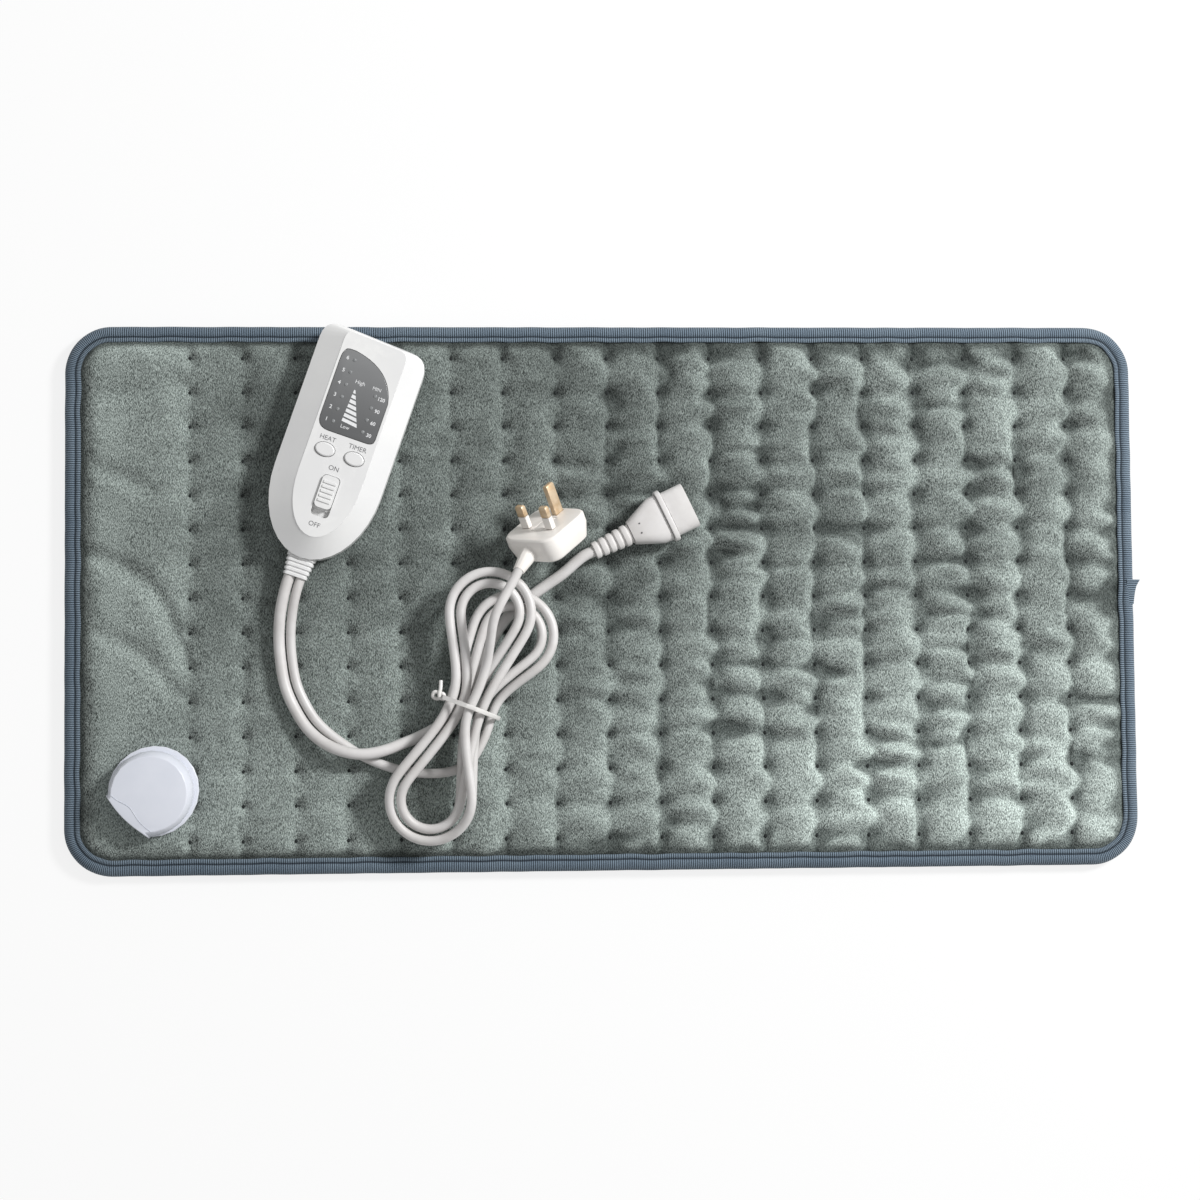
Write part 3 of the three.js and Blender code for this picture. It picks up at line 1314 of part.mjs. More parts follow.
const padLeadRoute = [
  [-177.2, -7, 19.6], [-178.3, -20, 17], [-177.5, -34, 16.4], [-175, -48, 16.4], [-170, -60, 16.4],
  [-163, -71, 17], [-154.5, -78.5, 19], [-145, -83, 21.6], [-134, -85, 22.4], [-123, -83.5, 21.2],
  [-112, -79.6, 18.6], [-101, -75, 17.2], [-91, -69.5, 17.6], [-82.5, -62, 17.9], [-76, -52.5, 17.9],
  [-70.5, -41, 17.6], [-66, -30, 17], [-60, -18.5, 16.5], [-52, -8.5, 16.4], [-43, -1, 16.4],
  [-34, 5.5, 17], [-24.5, 12, 19],
];
const mainsLeadRoute = [
  [-170.8, -7, 18.9], [-172, -20.5, 16.6], [-171.2, -34, 15.9], [-168.8, -46.8, 15.9], [-164.3, -57.2, 15.9],
  [-158.5, -66.6, 15.9], [-151, -74, 15.9], [-143, -80, 15.9], [-134, -85.8, 15.9], [-124.5, -90.2, 15.9],
  [-114, -93.6, 15.9], [-102, -95.6, 15.9], [-90.5, -95.6, 15.9], [-81.5, -93.6, 16.1], [-74.9, -89.2, 16.7],
];
const tailRoute = [[-66.5, -38, 37.5], [-64.5, -26, 42.5], [-62, -12, 48.5]];

function vectors(route) {
  return route.map((point) => new THREE.Vector3(...point));
}

function leavingGland(x) {
  return endPoints(handset, new THREE.Vector3(x, glandEnd, GLAND_CENTRE), downHandset, PAD_LEAD_DIAMETER);
}

function buildCords() {
  const padStart = leavingGland(padLeadX);
  const boot = new THREE.Vector3(BOOT_START - FIT, 0, 0);
  const padEnd = endPoints(connector, boot, new THREE.Vector3(-1, 0, 0), PAD_LEAD_DIAMETER);
  const padPoints = [...padStart, ...vectors(padLeadRoute), ...padEnd.reverse()];
  const padLead = cordGeometry(padPoints, PAD_LEAD_DIAMETER, 2 * PAD_LEAD_DIAMETER);
  place(model, 'pad_lead', padLead, materials.cord);
  const runStart = leavingGland(mainsLeadX);
  const hankStart = hankPoint(waist(START_COLUMN), -END_RUN - FIT, 0);
  const runEnd = endPoints(hank, hankStart, new THREE.Vector3(0, -1, 0), MAINS_LEAD_DIAMETER);
  const runPoints = [...runStart, ...vectors(mainsLeadRoute), ...runEnd.reverse()];
  const run = cordGeometry(runPoints, MAINS_LEAD_DIAMETER, 2 * MAINS_LEAD_DIAMETER);
  place(model, 'mains_lead_run', run, materials.cord);
  const hankEnd = hankPoint(waist(END_COLUMN), END_RUN + FIT, 3);
  const tailStart = endPoints(hank, hankEnd, new THREE.Vector3(0, 1, 0), MAINS_LEAD_DIAMETER);
  const neckWay = new THREE.Vector3(0, -1, -NECK_LEAN).normalize();
  const neckEnd = new THREE.Vector3(0, -PLUG_LENGTH / 2, NECK_HEIGHT);
  neckEnd.addScaledVector(neckWay, NECK_LENGTH + FIT);
  const tailEnd = endPoints(plug, neckEnd, neckWay, MAINS_LEAD_DIAMETER);
  const tailPoints = [...tailStart, ...vectors(tailRoute), ...tailEnd.reverse()];
  const tail = cordGeometry(tailPoints, MAINS_LEAD_DIAMETER, 2 * MAINS_LEAD_DIAMETER);
  place(model, 'mains_lead_tail', tail, materials.cord);
}
buildCords();

export default model;
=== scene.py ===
# %% [markdown]
# # A heating pad with its handset, leads and plug
# The solids of the part come in first, as a fixed frame in metres with +Z up. Everything soft is then
# made again as what it is: fleece, tape, cloth and cord. The hard pieces keep the frame's shapes, and
# get round edges, print and finishes.

import json
import math

import bpy
import numpy as np
from mathutils import Matrix, Vector

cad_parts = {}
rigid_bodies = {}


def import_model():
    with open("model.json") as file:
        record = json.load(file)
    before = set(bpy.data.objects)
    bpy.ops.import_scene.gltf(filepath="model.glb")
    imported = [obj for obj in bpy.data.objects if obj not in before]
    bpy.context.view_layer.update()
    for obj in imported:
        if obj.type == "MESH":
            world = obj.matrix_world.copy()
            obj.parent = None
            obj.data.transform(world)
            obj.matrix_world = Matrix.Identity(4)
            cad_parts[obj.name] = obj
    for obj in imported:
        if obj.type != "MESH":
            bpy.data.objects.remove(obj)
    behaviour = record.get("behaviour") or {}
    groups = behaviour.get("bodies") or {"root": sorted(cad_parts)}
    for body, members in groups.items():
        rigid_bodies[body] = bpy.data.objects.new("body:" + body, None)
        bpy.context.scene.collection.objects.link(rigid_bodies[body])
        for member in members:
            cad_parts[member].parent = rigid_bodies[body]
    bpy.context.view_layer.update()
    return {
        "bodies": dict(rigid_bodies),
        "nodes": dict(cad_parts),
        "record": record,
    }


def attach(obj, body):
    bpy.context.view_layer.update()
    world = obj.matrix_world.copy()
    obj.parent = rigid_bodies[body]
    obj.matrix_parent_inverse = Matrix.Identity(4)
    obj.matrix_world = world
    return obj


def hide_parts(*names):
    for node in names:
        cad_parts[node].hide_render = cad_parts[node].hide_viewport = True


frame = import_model()
MM = 0.001
scene = bpy.context.scene

# %% [markdown]
# ## Camera
# The picture is taken from almost straight above, a little towards the lower left. A long lens about
# 1.4 m up keeps the long edges of the pad nearly parallel, so the camera is set from those numbers
# and not by eye.

# %% Camera
LENS, SENSOR, NEAREST, FARTHEST = 76.17, 36, 0.05, 20
CAMERA_PLACE = (-0.09085, -0.07891, 1.39923)
CAMERA_TURN = (0.05594, -0.06231, -0.00911)
camera_lens = bpy.data.cameras.new("camera_above")
camera_lens.lens, camera_lens.sensor_width = LENS, SENSOR
camera_lens.clip_start, camera_lens.clip_end = NEAREST, FARTHEST
camera = bpy.data.objects.new("camera_above", camera_lens)
camera.location, camera.rotation_euler = CAMERA_PLACE, CAMERA_TURN
scene.collection.objects.link(camera)
scene.camera = camera
scene.view_settings.view_transform = "Standard"
print("camera at", camera.location[:])

# %% [markdown]
# ## Small helpers
# An operator acts on all that is selected, so each step first selects only its own piece. A finished
# piece has its place in its mesh and its object at the origin, and it rides on a body of the frame.

# %% Select, add, apply and finish
SLOTS = {m["slot"] for m in frame["record"]["materials"]}
ROOT = "pad_and_handset"


def choose(*objects):
    """Selects only these objects, with the last one active, in object mode."""
    if bpy.context.object and bpy.context.object.mode != "OBJECT":
        bpy.ops.object.mode_set(mode="OBJECT")
    bpy.ops.object.select_all(action="DESELECT")
    for one in objects:
        one.select_set(True)
    bpy.context.view_layer.objects.active = objects[-1]


def add(operator, **settings):
    """Adds a primitive at the origin, as a new piece, and returns it."""
    choose(camera)
    operator(location=(0, 0, 0), **settings)
    return bpy.context.object


def joined(pieces):
    """Joins pieces into the last of them."""
    choose(*pieces)
    bpy.ops.object.join()
    return bpy.context.object


def apply_modifier(piece, kind, **settings):
    """Adds a modifier with these settings and applies it."""
    modifier = piece.modifiers.new(kind.lower(), kind)
    for key, value in settings.items():
        setattr(modifier, key, value)
    choose(piece)
    bpy.ops.object.modifier_apply(modifier=modifier.name)


def edit(piece):
    """Opens a piece in edit mode with everything selected."""
    choose(piece)
    bpy.ops.object.mode_set(mode="EDIT")
    bpy.ops.mesh.select_all(action="SELECT")


def done():
    bpy.ops.object.mode_set(mode="OBJECT")


def settle(piece, name, finish, slot=None, body=ROOT, stands_for=(), smooth=30):
    """Names a piece, applies its place, gives it its finish and lets it ride on its body."""
    choose(piece)
    piece.name = piece.data.name = name
    if piece.type == "MESH":
        bpy.ops.object.transform_apply(location=True, rotation=True, scale=True)
        if smooth is not None:
            bpy.ops.object.shade_smooth_by_angle(angle=math.radians(smooth))
    piece.data.materials.clear()
    piece.data.materials.append(finish)
    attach(piece, body)
    if stands_for:
        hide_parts(*stands_for)
    if slot:
        assert slot in SLOTS
    return piece


print("material slots:", sorted(SLOTS))


# %% Read and move points
def set_points(piece, x, y, z):
    """Moves a mesh's points; the places are in millimetres."""
    piece.data.vertices.foreach_set("co", (np.stack([x, y, z], axis=1) * MM).ravel())
    piece.data.update()


def get_points(piece, unit=MM):
    """A mesh's points as shown, in millimetres unless another unit is given."""
    shown = piece.evaluated_get(bpy.context.evaluated_depsgraph_get()).data
    points = np.zeros(len(shown.vertices) * 3)
    shown.vertices.foreach_get("co", points)
    return points.reshape(-1, 3) / unit


def travelled(line):
    """How far along a line each of its points lies."""
    return np.concatenate([[0], np.cumsum(np.linalg.norm(np.diff(line, axis=0), axis=1))])


print("one millimetre is", MM, "m, and a 3-4-5 corner measures", travelled([(0, 0), (3, 4)])[-1])

# %% [markdown]
# ## Shared effects for the finishes
# Every finish is a tree of nodes, so a small class holds a tree and gives short ways to add to it. Three
# effects come back in several finishes, and each is a shader node group: a fine moulded grain for
# plastics, a slow drift of tone that keeps any surface from being one flat colour, and a wear mask that
# finds the edges of a piece. Each finish places the group with its own scale.

# %% Node helpers
def srgb(code):
    """A colour written as six hex digits, as the linear values that nodes take."""
    parts = [int(code[i : i + 2], 16) / 255 for i in (0, 2, 4)]
    return tuple(c / 12.92 if c <= 0.04045 else ((c + 0.055) / 1.055) ** 2.4 for c in parts) + (1.0,)


class Nodes:
    """A tree of nodes. A value for an input is a number, a colour code or an output to link."""

    def __init__(self, tree):
        self.tree = tree

    def feed(self, socket, value):
        if isinstance(value, bpy.types.NodeSocket):
            self.tree.links.new(value, socket)
        else:
            socket.default_value = srgb(value) if isinstance(value, str) else value

    def add(self, kind, **values):
        """Adds a node. Each value goes to the input of that name, or else to the node's own setting."""
        made = self.tree.nodes.new("ShaderNode" + kind)
        for key, value in values.items():
            name = key.replace("_", " ")
            if name in made.inputs:
                self.feed(made.inputs[name], value)
            else:
                setattr(made, key, value)
        return made

    def place(self):
        return self.add("TexCoord").outputs["Object"]

    def noise(self, place, scale, detail=2.0, rough=0.5):
        made = self.add("TexNoise", Vector=place, Scale=scale, Detail=detail, Roughness=rough)
        return made.outputs["Fac"]

    def math(self, operation, *values, clamp=False):
        made = self.add("Math", operation=operation, use_clamp=clamp)
        for socket, value in zip(made.inputs, values):
            self.feed(socket, value)
        return made.outputs[0]

    def total(self, *parts):
        """The sum of values, each with its share."""
        result = 0.0
        for value, share in parts:
            result = self.math("MULTIPLY_ADD", value, share, result)
        return result

    def ramp(self, value, low, high, to_low=0.0, to_high=1.0, smooth=False):
        """Maps a value from one range to another, held at both ends."""
        shape = "SMOOTHSTEP" if smooth else "LINEAR"
        limits = dict(From_Min=low, From_Max=high, To_Min=to_low, To_Max=to_high)
        return self.add("MapRange", interpolation_type=shape, Value=value, **limits).outputs["Result"]

    def mix(self, share, first, second):
        """Mixes two colours."""
        made = self.add("Mix", data_type="RGBA")
        for index, value in ((0, share), (6, first), (7, second)):
            self.feed(made.inputs[index], value)
        return made.outputs[2]

    def use(self, group, **values):
        """Places a node group and returns its output."""
        return self.add("Group", node_tree=group, **values).outputs[0]


class Finish(Nodes):
    """A new material with its tree and its shader."""

    def __init__(self, name):
        self.material = bpy.data.materials.new(name)
        self.material.use_nodes = True
        super().__init__(self.material.node_tree)
        self.shader = self.tree.nodes["Principled BSDF"]

    def set(self, **values):
        """Feeds inputs of the shader."""
        for key, value in values.items():
            self.feed(self.shader.inputs[key.replace("_", " ")], value)

    def bump(self, height, strength, distance):
        made = self.add("Bump", Strength=strength, Distance=distance, Height=height)
        self.set(Normal=made.outputs["Normal"])


print("half grey as nodes take it:", round(srgb("808080")[0], 3))


# %% Moulded grain, tone drift and edge wear
def noise_group(name, setting, scale, result, shaped, detail, rough=0.5):
    """A node group of noise over a piece, with its scale as the setting and a function that shapes it."""
    group = bpy.data.node_groups.new(name, "ShaderNodeTree")
    sockets = group.interface
    sockets.new_socket(name=setting, in_out="INPUT", socket_type="NodeSocketFloat").default_value = scale
    sockets.new_socket(name=result, in_out="OUTPUT", socket_type="NodeSocketFloat")
    entry, leave = group.nodes.new("NodeGroupInput"), group.nodes.new("NodeGroupOutput")
    nodes = Nodes(group)
    noise = nodes.noise(nodes.place(), entry.outputs[setting], detail, rough)
    group.links.new(shaped(nodes, noise), leave.inputs[result])
    return group


def plain(nodes, noise):
    return noise


def cloudy(nodes, noise):
    return nodes.ramp(noise, 0.3, 0.7, smooth=True)


def on_edges(nodes, noise):
    raised = nodes.ramp(nodes.add("NewGeometry").outputs["Pointiness"], 0.51, 0.6, smooth=True)
    return nodes.math("MULTIPLY", raised, nodes.ramp(noise, 0.35, 0.7))


grain_group = noise_group("moulded_grain", "Scale", 2500.0, "Height", plain, 3.0, 0.6)
drift_group = noise_group("tone_drift", "Scale", 20.0, "Tone", cloudy, 4.0, 0.55)
wear_group = noise_group("edge_wear", "Breakup Scale", 220.0, "Wear", on_edges, 3.0)
print("groups:", [group.name for group in bpy.data.node_groups])

# %% [markdown]
# ## Plastic, rubber and metal finishes
# White plastic is never quite white: it drifts slowly between two near tones, its edges are polished,
# and the mould leaves a fine grain that breaks up the highlights. One function makes all the moulded
# finishes, with a colour, a roughness and a grain size for each.

# %% Moulded finishes
TONE_SPREAD, EDGE_LIFT, EDGE_POLISH, EDGE_TONE = 0.06, 0.35, -0.12, "f4f4f2"
PLASTIC_IOR, GRAIN_DEPTH = 1.49, 0.00006


def moulded(name, base, shade, rough, grain=2600.0, depth=0.25, drift=22.0):
    """A moulded finish: two near tones, polished edges and a fine grain."""
    made = Finish(name)
    tone = made.use(drift_group, Scale=drift)
    wear = made.use(wear_group, Breakup_Scale=260.0)
    lift = made.math("MULTIPLY", wear, EDGE_LIFT)
    dull = made.ramp(tone, 0, 1, rough - TONE_SPREAD, rough + TONE_SPREAD)
    made.set(
        Base_Color=made.mix(lift, made.mix(tone, base, shade), EDGE_TONE),
        Roughness=made.total((dull, 1.0), (wear, EDGE_POLISH)), IOR=PLASTIC_IOR,
    )
    made.bump(made.use(grain_group, Scale=grain), depth, GRAIN_DEPTH)
    return made.material


case_white = moulded("case_white", "e6e6e5", "dedede", 0.38)
socket_white = moulded("socket_white", "dcdfe8", "d2d6e0", 0.34)
plug_white = moulded("plug_white", "efebe6", "e6e0da", 0.36, grain=1900.0)
cord_white = moulded("cord_white", "d4d2d1", "c8c5c3", 0.42, grain=900.0, depth=0.35, drift=45.0)
seam_grey = moulded("seam_grey", "bcc1cc", "b1b6c1", 0.45)
tie_white = moulded("tie_white", "eceae8", "d8d6d3", 0.3, grain=1500.0)
switch_black = moulded("switch_black", "26272a", "1c1d1f", 0.45)
print("finishes so far:", [material.name for material in bpy.data.materials])


# %% Metal, print, window, lamps and board
def metal(name, base, tarnish, rough, metallic):
    """Plated metal with a drift of tarnish and a fine grain."""
    made = Finish(name)
    tone = made.use(drift_group, Scale=160.0)
    made.set(
        Base_Color=made.mix(tone, base, tarnish), Metallic=metallic,
        Roughness=made.ramp(tone, 0, 1, rough, rough + 0.16),
    )
    made.bump(made.use(grain_group, Scale=1400.0), 0.2, 0.00005)
    return made.material


def ink(name, base, rough=0.5):
    """Printed ink: a flat tone with the slight patchiness of a screen print."""
    made = Finish(name)
    thin = made.math("MULTIPLY", made.use(drift_group, Scale=900.0), 0.25)
    made.set(Base_Color=made.mix(thin, base, "b8b8b8"), Roughness=rough)
    return made.material


def smoked_window():
    """The display window: a smoked sheet that is paler towards its top, with a clear gloss over it."""
    made = Finish("smoked_window")
    tone = made.use(drift_group, Scale=60.0)
    height = made.ramp(made.add("SeparateXYZ", Vector=made.place()).outputs["Y"], 0.09, 0.13)
    smoke = made.mix(height, "5e5f60", "7f8081")
    made.set(
        Base_Color=made.mix(made.math("MULTIPLY", tone, 0.2), smoke, "5c5d5e"),
        Roughness=made.ramp(tone, 0, 1, 0.3, 0.4), Coat_Weight=0.4, Coat_Roughness=0.2,
    )
    return made.material


def lamp_lens():
    """Small milky lamp windows with a patchy bloom."""
    made = Finish("lamp_lens")
    tone = made.use(drift_group, Scale=700.0)
    made.set(Base_Color=made.mix(tone, "8d8f90", "7a7c7d"), Roughness=made.ramp(tone, 0, 1, 0.25, 0.4))
    return made.material


def board_green():
    """The circuit board, with its faint tracks under the green lacquer."""
    made = Finish("board_green")
    tones = dict(Color1="1f5a38", Color2="245f3d", Mortar="2f7448")
    track = made.add("TexBrick", Vector=made.place(), Scale=180.0, **tones).outputs
    made.set(Base_Color=track["Color"], Roughness=made.ramp(track["Fac"], 0, 1, 0.3, 0.45))
    return made.material


pin_brass = metal("pin_brass", "dcc7aa", "c0a27c", 0.3, 0.45)
screw_steel = metal("screw_steel", "c9ccd0", "9a9da3", 0.25, 0.9)
case_ink = ink("case_ink", "5f5f62")
window_ink = ink("window_ink", "e9eaeb", 0.4)
mark_ink = ink("mark_ink", "4a4a4c", 0.6)
window_smoke, lamp_milk, board_lacquer = smoked_window(), lamp_lens(), board_green()
print("finishes so far:", len(bpy.data.materials))

# %% [markdown]
# ## The two leads
# The handset has two leads that leave side by side. The thick one goes under the hank to the connector
# of the pad. The thin one goes to the mains plug, and most of it is folded in a hank with a tie round
# its waist. Both are one smooth curve from end to end, through the same points as the solids: chosen
# points on the free stretches, and a formula of straight runs and round folds in the hank.

# %% A smooth line through points
SPLINE_STEPS = 12


def between(start, end, t_start, t_end, t):
    return start * ((t_end - t) / (t_end - t_start)) + end * ((t - t_start) / (t_end - t_start))


def smooth_line(points, step, relax=0):
    """Points at even steps on a centripetal spline through the given points, in the same unit."""
    given = [Vector(p) for p in points]
    given = [2 * given[0] - given[1], *given, 2 * given[-1] - given[-2]]
    fine = []
    for before, start, end, after in zip(given, given[1:], given[2:], given[3:]):
        k1 = max((start - before).length ** 0.5, 1e-6)
        k2 = k1 + max((end - start).length ** 0.5, 1e-6)
        k3 = k2 + max((after - end).length ** 0.5, 1e-6)
        for i in range(SPLINE_STEPS):
            t = k1 + (k2 - k1) * i / SPLINE_STEPS
            middle = between(start, end, k1, k2, t)
            first = between(between(before, start, 0, k1, t), middle, 0, k2, t)
            last = between(middle, between(end, after, k2, k3, t), k1, k3, t)
            fine.append(between(first, last, k1, k2, t))
    line = np.array([*fine, given[-2]])
    along = travelled(line)
    even = np.linspace(0, along[-1], int(along[-1] / step) + 1)
    line = np.stack([np.interp(even, along, line[:, i]) for i in range(3)], axis=1)
    for _ in range(relax):
        line[1:-1] = 0.5 * line[1:-1] + 0.25 * (line[:-2] + line[2:])
    return line


print("steps between two points of a line:", SPLINE_STEPS)


# %% Where the leads run, in millimetres
def turned(place, degrees):
    """The frame of a group of pieces: where it lies and how far it is turned about Z."""
    return Matrix.Translation(place) @ Matrix.Rotation(math.radians(degrees), 4, "Z")


PAD_LEAD, MAINS_LEAD, LEAD_STEP = 6.2, 5.2, 2.0
HANDSET = turned((-144.8, 81.0, 13.3), -19.4)
CONNECTOR = turned((45.5, 49.5, 20.8), 25.5)
GLAND_END, GLAND_HEIGHT, TUCK = -74.3, 8.0, 2.0
PAD_LEAD_X, MAINS_LEAD_X = -2.85, 3.35
BOOT_END = -58.6
NECK_END = Vector((-49.37, 11.71, 48.29))

pad_route = [
    (-177.2, -7, 19.6), (-178.3, -20, 17), (-177.5, -34, 16.4), (-175, -48, 16.4), (-170, -60, 16.4),
    (-163, -71, 17), (-154.5, -78.5, 19), (-145, -83, 21.6), (-134, -85, 22.4), (-123, -83.5, 21.2),
    (-112, -79.6, 18.6), (-101, -75, 17.2), (-91, -69.5, 17.6), (-82.5, -62, 17.9), (-76, -52.5, 17.9),
    (-70.5, -41, 17.6), (-66, -30, 17), (-60, -18.5, 16.5), (-52, -8.5, 16.4), (-43, -1, 16.4),
    (-34, 5.5, 17), (-24.5, 12, 19),
]
mains_route = [
    (-170.8, -7, 18.9), (-172, -20.5, 16.6), (-171.2, -34, 15.9), (-168.8, -46.8, 15.9),
    (-164.3, -57.2, 15.9), (-158.5, -66.6, 15.9), (-151, -74, 15.9), (-143, -80, 15.9),
    (-134, -85.8, 15.9), (-124.5, -90.2, 15.9), (-114, -93.6, 15.9), (-102, -95.6, 15.9),
    (-90.5, -95.6, 15.9), (-81.5, -93.6, 16.1), (-74.9, -89.2, 16.7),
]
tail_route = [(-66.5, -38, 37.5), (-64.5, -26, 42.5), (-62, -12, 48.5)]


def leaving_gland(x):
    """The first two points of a lead: a little inside the gland, and the thick lead's width outside."""
    return [HANDSET @ Vector((x, y, GLAND_HEIGHT)) for y in (GLAND_END + TUCK, GLAND_END - PAD_LEAD)]


boot_points = [CONNECTOR @ Vector((x, 0, 0)) for x in (BOOT_END - PAD_LEAD, BOOT_END + TUCK)]
pad_line = smooth_line([*leaving_gland(PAD_LEAD_X), *pad_route, *boot_points], LEAD_STEP)
print("pad lead:", len(pad_line), "points")

# %% The hank: runs through the waist, folds at both ends
HANK = turned((-77.5, -59.5, 0), -21)
LAYERS = (17.4, 24.1, 30.4, 36.7)
WAIST_PITCH, WAIST_MIDDLE, WAIST_RUN, END_RUN = 6.2, 1.5, 9.0, 11.6
INNER, OUTER, FOLD_STEPS = 16.0, 22.2, 18
LOWER = (54.0, 0.0)
UPPER_1, UPPER_2 = (46.0, math.radians(13)), (52.0, math.radians(-6))
DROOP_FROM, DROOP_TO, DROOP = 44.0, 78.0, 7.9


def eased(value, low, high):
    share = min(max((value - low) / (high - low), 0.0), 1.0)
    return share * share * (3 - 2 * share)


def hank_point(u, v, layer):
    """A point of the hank in the pad's frame; the lower folds droop onto the pad."""
    height = float(np.interp(layer, range(len(LAYERS)), LAYERS))
    return HANK @ Vector((u, v, height - DROOP * eased(-v, DROOP_FROM, DROOP_TO)))


def waist(column):
    return (WAIST_MIDDLE - column) * WAIST_PITCH


def lobe(side, start, end, fold, radius):
    """From one column round a fold and back to another, always turning left."""
    reach, lean = fold
    centre = Vector((math.sin(lean), side * math.cos(lean))) * reach
    first, last = (Vector((waist(column), side * WAIST_RUN)) for column in (start[0], end[0]))
    there, back = centre - first, centre - last
    begin = math.atan2(there.y, there.x) - math.asin(radius / there.length) - math.pi / 2
    finish = math.atan2(back.y, back.x) + math.asin(radius / back.length) + math.pi / 2
    finish = begin + (finish - begin) % (2 * math.pi)
    points = [hank_point(first.x, first.y, start[1])]
    for i in range(FOLD_STEPS + 1):
        share = i / FOLD_STEPS
        angle = begin + (finish - begin) * share
        spot = centre + Vector((math.cos(angle), math.sin(angle))) * radius
        layer = end[1] if side > 0 else start[1] + (end[1] - start[1]) * eased(share, 0.4, 1)
        points.append(hank_point(spot.x, spot.y, layer))
    return points + [hank_point(last.x, last.y, end[1])]


hank_lobes = [
    (1, (-1, 0), (3, 1), UPPER_1, OUTER), (-1, (3, 1), (0, 1), LOWER, OUTER),
    (1, (0, 1), (2, 1), UPPER_1, INNER), (-1, (2, 1), (1, 1), LOWER, INNER),
    (1, (1, 1), (2, 2), UPPER_2, INNER), (-1, (2, 2), (0, 2), LOWER, INNER),
    (1, (0, 2), (3, 2), UPPER_2, OUTER), (-1, (3, 2), (1, 3), LOWER, OUTER),
]
hank_points = [hank_point(waist(-1), -END_RUN, 0)]
for row in hank_lobes:
    hank_points += lobe(*row)
hank_points.append(hank_point(waist(1), END_RUN, 3))

neck_way = (Vector(tail_route[-1]) - NECK_END).normalized()
neck_points = [NECK_END + neck_way * MAINS_LEAD, NECK_END - neck_way * TUCK]
mains_points = [*leaving_gland(MAINS_LEAD_X), *mains_route, *hank_points, *tail_route, *neck_points]
mains_line = smooth_line(mains_points, LEAD_STEP, relax=3)
print("mains lead:", len(mains_line), "points")


# %% Make each lead a curve with a round section
def tube(name, lines, width, roundness):
    """A curve with a round section along one or more lines of points, in millimetres."""
    curve = bpy.data.curves.new(name, "CURVE")
    curve.dimensions = "3D"
    curve.bevel_depth, curve.bevel_resolution = width / 2 * MM, roundness
    curve.use_fill_caps = True
    for line in lines:
        spline = curve.splines.new("POLY")
        spline.points.add(len(line) - 1)
        spline.points.foreach_set("co", np.c_[line * MM, np.ones(len(line))].ravel())
        spline.use_smooth = True
    piece = bpy.data.objects.new(name, curve)
    scene.collection.objects.link(piece)
    return piece


def lead(name, line, diameter, *stands_for):
    return settle(tube(name, [line], diameter, 4), name, cord_white, "cord_rubber", stands_for=stands_for)


pad_lead = lead("pad_lead_cord", pad_line, PAD_LEAD, "pad_lead")
mains_solids = ("mains_lead_run", "mains_lead_hank", "mains_lead_tail")
mains_lead = lead("mains_lead_cord", mains_line, MAINS_LEAD, *mains_solids)

# %% [markdown]
# ## Fleece, tape and cloth
# The fleece has a short dense pile. It shows as fine streaks a millimetre long that lean one way, with
# slow patches where the pile was stroked flat. Light and shade are painted into its colour too: pile
# that faces the lamp is painted pale and pile that faces away is painted dark, the hollows and the pits at
# the stitches get painted shade, and a painted sheen makes the lower half and the left margin paler and
# the left half darker. The tape round the edge is woven with fine ribs across it, so its pattern follows
# a UV map that runs along the edge, and a painted shadow runs along its inner edge. The cloth underneath
# is a plain weave.

# %% Fleece
PILE_LEAN, PILE_STRETCH = math.radians(-24), (1.0, 0.38, 1.0)


